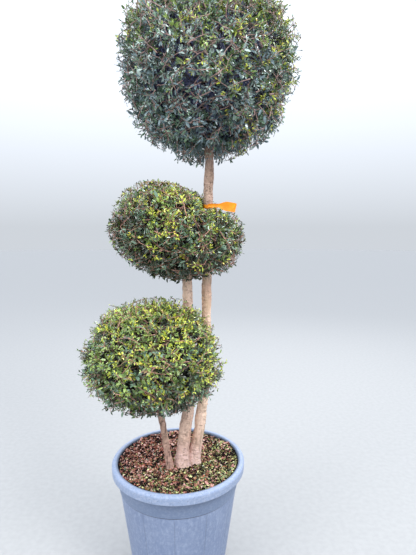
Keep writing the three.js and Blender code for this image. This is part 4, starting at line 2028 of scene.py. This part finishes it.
@dataclass(frozen=True)
class Litter:
    """Chips or leaf bits of one tone: their number, size, tints from 0 to 255, and the way most lie."""

    kind: Bit
    tone: str
    count: int
    size: Place
    dark: tuple[int, int, int]
    light: tuple[int, int, int]
    seed: int
    lean: tuple[float, float] = (0, 0)

    @property
    def name(self) -> str:
        """The name of the piece."""
        return f"{self.kind.value}s_{self.tone}"

    @property
    def finish(self) -> LitterFinish:
        """The finish of the bits."""
        return LitterFinish(f"{self.kind.value}_{self.tone}", tint(*self.dark), tint(*self.light))

    def shape(self) -> Piece:
        """Makes one bit: a split chip with uneven ends, or a small curled leaf.

        Returns:
            The bit, full size and level.
        """
        l, w, t = (side / 2 for side in self.size)
        if self.kind is Bit.LEAF:
            high = [(-l, 0, 0), (-l * 0.3, w, t * 3), (l * 0.45, w * 0.8, t * 5), (l, 0, t * 2)]
            outline = [*high, (l * 0.45, -w * 0.8, t * 4), (-l * 0.3, -w, t)]
            return mesh_from("litter_shape", outline, [(0, 5, 1), (1, 5, 4, 2), (2, 4, 3)])
        rng = np.random.default_rng(self.seed)
        ring = np.array([(-1, -0.5), (-0.2, -1), (1, -0.6), (0.8, 0.4), (0.1, 1), (-0.8, 0.6)]) * (l, w)
        flat = ring * rng.uniform(0.8, 1.2, ring.shape)
        low = np.column_stack([flat, np.full(len(ring), -t)])
        high = np.column_stack([flat * 0.82, t * rng.uniform(0.6, 1.3, len(ring))])
        return mesh_from("litter_shape", np.vstack([low, high]), tube_faces(2, len(ring)))

    def crowding(self, recipe: Recipe) -> Wire:
        """How crowded the bits lie at a place: in patches, and more of them the way that they lean.

        Args:
            recipe: The tree that scatters them.

        Returns:
            The crowding, 1 where it is usual.
        """
        place = recipe.node("GeometryNodeInputPosition")
        own = {0: place, 1: (self.seed * 1.7, 0, 0)}
        moved = recipe.node("ShaderNodeVectorMath", {"operation": "ADD"}, own)
        patches = recipe.node("ShaderNodeTexNoise", inputs={"Vector": moved, "Scale": 28.0, "Detail": 2.0})
        way = {0: place, 1: (*self.lean, 0)}
        leaning = recipe.node("ShaderNodeVectorMath", {"operation": "DOT_PRODUCT"}, way, "Value")
        ends = {"From Min": 0.38, "From Max": 0.62, "To Min": 0.15, "To Max": 1.85}
        return recipe.node("ShaderNodeMapRange", inputs={"Value": patches + leaning, **ends})

    def recipe(self, tilt: float = 0.6) -> Recipe:
        """Writes the tree that scatters the bits over a ground and heaps them up a little.

        Args:
            tilt: The steepest that a bit lies, in radians.

        Returns:
            The tree.
        """
        recipe = Recipe(f"scattered_{self.name}")
        bit = recipe.input("Bit", "Object")
        density = recipe.input("Density", "Float")
        lift = recipe.input("Lift", "Vector")
        spread = {"Mesh": recipe.base, "Density": density * self.crowding(recipe), "Seed": self.seed}
        points = recipe.node("GeometryNodeDistributePointsOnFaces", {"distribute_method": "RANDOM"}, spread)
        share = {0: lift, 3: recipe.random(0, 1, self.seed + 4)}
        heap = recipe.node("ShaderNodeVectorMath", {"operation": "SCALE"}, share)
        turn = {
            "X": recipe.random(-tilt, tilt, self.seed),
            "Y": recipe.random(-tilt, tilt, self.seed + 1),
            "Z": recipe.random(0, math.tau, self.seed + 2),
        }
        euler = recipe.node("ShaderNodeCombineXYZ", inputs=turn)
        placed = {
            "Points": recipe.node("GeometryNodeSetPosition", inputs={"Geometry": points, "Offset": heap}),
            "Instance": recipe.node("GeometryNodeObjectInfo", inputs={"Object": bit}, output="Geometry"),
            "Rotation": recipe.node("FunctionNodeEulerToRotation", inputs={"Euler": euler}),
            "Scale": recipe.random(0.4, 1.45, self.seed + 3),
        }
        recipe.end(recipe.node("GeometryNodeInstanceOnPoints", inputs=placed), smooth=False)
        return recipe


FLAT = 0.0005
LITTER = (
    # The dark chips are near black, partly painted shade between the bits.
    Litter(Bit.CHIP, "dark", 3000, (0.011, 0.006, 0.004), (8, 6, 6), (44, 29, 28), 3),
    Litter(Bit.CHIP, "brown", 2350, (0.0095, 0.004, 0.003), (92, 54, 48), (184, 124, 108), 5, (-0.6, 0.3)),
    Litter(Bit.CHIP, "pink", 950, (0.0088, 0.004, 0.003), (190, 140, 128), (248, 214, 202), 7, (-0.7, 0.6)),
    Litter(Bit.CHIP, "large", 110, (0.021, 0.008, 0.005), (150, 100, 92), (214, 164, 152), 8),
    Litter(Bit.CHIP, "rust", 520, (0.0125, 0.0032, 0.002), (120, 62, 46), (200, 122, 96), 15, (-0.5, 0.0)),
    Litter(Bit.LEAF, "olive", 3900, (0.0082, 0.0045, FLAT), (58, 60, 38), (126, 124, 76), 9, (0.6, -0.7)),
    Litter(Bit.LEAF, "sage", 800, (0.0086, 0.0044, FLAT), (112, 124, 104), (176, 186, 160), 13, (0.1, -0.2)),
    Litter(Bit.LEAF, "lime", 1900, (0.0078, 0.0046, FLAT), (142, 150, 82), (232, 232, 170), 11, (0.6, -0.6)),
)


@dataclass
class Compost:
    """The compost that fills the tub, with bark chips, leaf bits and moss scattered over it."""

    node: str = "compost"
    top: float = 0.425
    edge_rise: float = 0.0185
    edge_radius: float = 0.2362
    hub_radius: float = 0.003
    floor: float = 0.0075
    floor_radius: float = 0.1755
    rings: int = 46
    columns: int = 160
    unevenness: float = 0.005
    crumb: float = 0.0022
    litter_radius: float = 0.2345
    heap: float = 0.0036
    # The compost is near black: dark compost darkened further as painted shade between the bits.
    earth: LitterFinish = LitterFinish("compost_earth", tint(7, 5, 5), tint(28, 20, 18), 120)

    def surface(self, x: Array, y: Array) -> Array:
        """The compost's top: level in the middle, uneven and heaped towards the wall, and crumbly.

        Args:
            x: Places to the right of the middle.
            y: Places behind it.

        Returns:
            The height at each place.
        """
        radius = np.hypot(x, y)
        outside = smooth_share(radius, 0.105, 0.2)
        wave = np.sin(x / 0.037) * np.cos(y / 0.029) + np.sin((x - y) / 0.053)
        heaped = self.edge_rise * smooth_share(radius, 0.14, 0.215)
        crumbs = [
            noise.noise(Vector((a * 90, b * 90, 0))) + 0.6 * noise.noise(Vector((a * 260, b * 260, 4)))
            for a, b in zip(x, y)
        ]
        uneven = self.unevenness * outside * (wave / 2 - 0.4)
        return self.top + uneven + heaped + self.crumb * np.array(crumbs)

    def build(self) -> None:
        """Makes the compost and scatters the litter."""
        radii = np.linspace(self.hub_radius, self.edge_radius, self.rings)[:, None]
        top = round_axis(turns(self.columns), radii, 0.0).reshape(-1, 3)
        top[:, 2] = self.surface(top[:, 0], top[:, 1])
        bottom = round_axis(turns(self.columns), self.floor_radius, self.floor)
        faces = [face[::-1] for face in tube_faces(self.rings + 1, self.columns)]
        bed = mesh_from("compost_bed", np.vstack([top, bottom]), faces)
        smooth(bed)
        dress(bed, self.node, self.earth)
        for litter in LITTER:
            self.scatter(litter, top)

    def scatter(self, litter: Litter, top: Array) -> None:
        """Scatters one kind of bit over the compost.

        Args:
            litter: The kind.
            top: The points of the compost's top, ring by ring.
        """
        rings = int(self.rings * self.litter_radius / self.edge_radius)
        faces = [face[::-1] for face in woven_faces(rings, self.columns)]
        ground = mesh_from(litter.name, top[: rings * self.columns], faces)
        bit = litter.shape()
        density = litter.count / (math.pi * self.litter_radius**2)
        values = {"Finish": litter.finish.make(), "Bit": bit, "Density": density, "Lift": (0, 0, self.heap)}
        piece = litter.recipe().cook(ground, values)
        bpy.data.objects.remove(bit)
        dress(piece, self.node)


@dataclass
class LoopLabel:
    """The blank loop label on the tall stem: a band, and a strap that widens to a plain head.

    The strap leaves the band at the angle rise above level and has bent down to fall at its end, in radians.
    """

    stem: Stem
    node: str = "loop_label"
    height: float = 1.437
    thickness: float = 0.0008
    clearance: float = 0.0012
    strap_width: float = 0.013
    strap_length: float = 0.036
    head_width: float = 0.034
    head_length: float = 0.068
    shoulder: float = 0.034
    corner: float = 0.004
    rise: float = 0.06
    fall: float = 0.22
    sag: float = 0.003
    columns: int = 5
    band_rows: int = 40
    strap_rows: int = 34
    corner_rows: int = 6
    sharpest: float = 40

    @property
    def length(self) -> float:
        """The length of the strap and the head."""
        return self.strap_length + self.head_length

    def half_width(self, place: Array) -> Array:
        """Half the strip's width: it widens at the shoulder and has rounded corners at its end.

        Args:
            place: Distances along it.

        Returns:
            Half the width at each.
        """
        head = smooth_share(place, self.strap_length, self.strap_length + self.shoulder)
        half = (self.strap_width + (self.head_width - self.strap_width) * head) / 2
        cut = np.maximum(self.corner - (self.length - place), 0)
        return half - self.corner + np.sqrt(np.maximum(self.corner**2 - cut**2, 0))

    def band(self, radius: float) -> Array:
        """Shapes the band round the stem, which sags a little at the front.

        Args:
            radius: The band's radius.

        Returns:
            Its points, in rings from its lower edge up.
        """
        angles = turns(self.band_rows) - math.pi / 2
        across = np.linspace(-1, 1, self.columns)[:, None] * self.strap_width / 2
        return round_axis(angles, radius, across + self.sag * np.sin(angles))

    def strap(self, radius: float) -> Array:
        """Shapes the strap and the head, which bend down along an arc.

        Args:
            radius: How far in front of the stem's middle they hang.

        Returns:
            Their points, in rows across them.
        """
        straight = np.linspace(0, self.length - self.corner, self.strap_rows)
        rounded = self.length - self.corner * (1 - np.sin(np.linspace(0.2, 1.57, self.corner_rows)))
        place = np.concatenate([straight, rounded])[:, None]
        curl = (self.rise + self.fall) / self.length
        slope = curl * place - self.rise
        share = np.linspace(-1, 1, self.columns)
        half = self.half_width(place) * share
        x = (np.sin(slope) + math.sin(self.rise)) / curl + half * np.sin(slope)
        z = (np.cos(slope) - math.cos(self.rise)) / curl + half * np.cos(slope)
        bow = 0.003 * np.sin(place * 38) + 0.0012 + 0.0015 * share * share
        return np.stack([x, -radius - bow, z], axis=-1)

    def build(self) -> None:
        """Makes and dresses the label."""
        radius = float(self.stem.radius(self.height)) + self.clearance
        middle = self.stem.middle(self.height)
        band, strap = self.band(radius), self.strap(radius)
        shell = Shell()
        shell.add(middle + band, woven_faces(self.columns, self.band_rows))
        shell.add(middle + strap, woven_faces(len(strap), self.columns, closed=False))
        piece = shell.piece("loop_label_film")
        film = piece.modifiers.new("film", "SOLIDIFY")
        film.thickness = self.thickness
        film.offset = 1
        apply_modifiers(piece)
        smooth(piece, self.sharpest)
        dress(piece, self.node, LabelFinish())


@dataclass
class Studio:
    """The camera, a pale floor and soft light. Lamps are given as name, place, size and power."""

    camera_place: Place = (0.117, -1.583, 1.326)
    camera_pitch: float = -5.7
    lens: float = 27.05
    sensor: float = 36
    farthest: float = 200
    floor_radius: float = 40.0
    floor_sides: int = 64
    sky: Colour = (0.84, 0.9, 1.0)
    horizon: Colour = (0.3, 0.318, 0.342)
    sky_strength: float = 2.1
    aim: Place = (0.05, 0, 1.1)
    lamps: Sequence[tuple[str, Place, float, float]] = (
        ("key", (2.3, -2.4, 4.2), 1.5, 130),
        ("fill", (-3.2, -2.6, 3.4), 2.0, 90),
        ("back", (1.2, 3.2, 3.6), 2.4, 60),
    )

    def build(self) -> None:
        """Sets the studio up."""
        scene = bpy.context.scene
        scene.view_settings.view_transform = "Standard"
        scene.camera = self.place("camera", bpy.data.cameras.new("camera"), self.camera_place)
        scene.camera.rotation_euler = (math.radians(90 + self.camera_pitch), 0, 0)
        scene.camera.data.lens = self.lens
        scene.camera.data.sensor_width = self.sensor
        scene.camera.data.clip_end = self.farthest
        floor_points = round_axis(turns(self.floor_sides), self.floor_radius, 0.0)
        floor = mesh_from("floor", floor_points, [tuple(range(self.floor_sides))])
        floor.data.materials.append(FloorFinish().make())
        self.world()
        for name, place, size, power in self.lamps:
            lamp = self.place(name, bpy.data.lights.new(name, "AREA"), place)
            lamp.data.size = size
            lamp.data.energy = power
            lamp.rotation_euler = (Vector(self.aim) - Vector(place)).to_track_quat("-Z", "Y").to_euler()

    @staticmethod
    def place(name: str, data: bpy.types.ID, place: Place) -> Piece:
        """Puts a camera or a lamp in the scene.

        Args:
            name: Its name.
            data: What it is.
            place: Where it stands.

        Returns:
            Its object.
        """
        thing = bpy.data.objects.new(name, data)
        thing.location = place
        bpy.context.scene.collection.objects.link(thing)
        return thing

    def world(self) -> None:
        """A pale sky, bright overhead and as pale as the floor at the horizon."""
        world = bpy.data.worlds.new("studio")
        world.use_nodes = True
        tree = Tree(world.node_tree)
        place = tree.node("ShaderNodeTexCoord", output="Generated")
        height = tree.node("ShaderNodeSeparateXYZ", inputs={0: place}, output="Z")
        sky = tree.ramp(height, (0.02, self.horizon), (0.8, self.sky))
        tree.feed(world.node_tree.nodes["Background"], {"Color": sky, "Strength": self.sky_strength})
        bpy.context.scene.world = world


def main() -> None:
    """Builds the studio, the tub, the stems and the foliage in order."""
    logging.basicConfig(level=logging.INFO, format="%(name)s: %(message)s")
    Studio().build()
    Tub().build()
    Compost().build()
    stems = make_stems()
    for stem in stems.values():
        stem.build()
    LoopLabel(stems["tall"]).build()
    pruner = Pruner()
    finishes = Foliage()
    for ball in make_balls(stems):
        ball.build(pruner, finishes)
    pruner.clear_away()


if __name__ == "__main__":
    main()
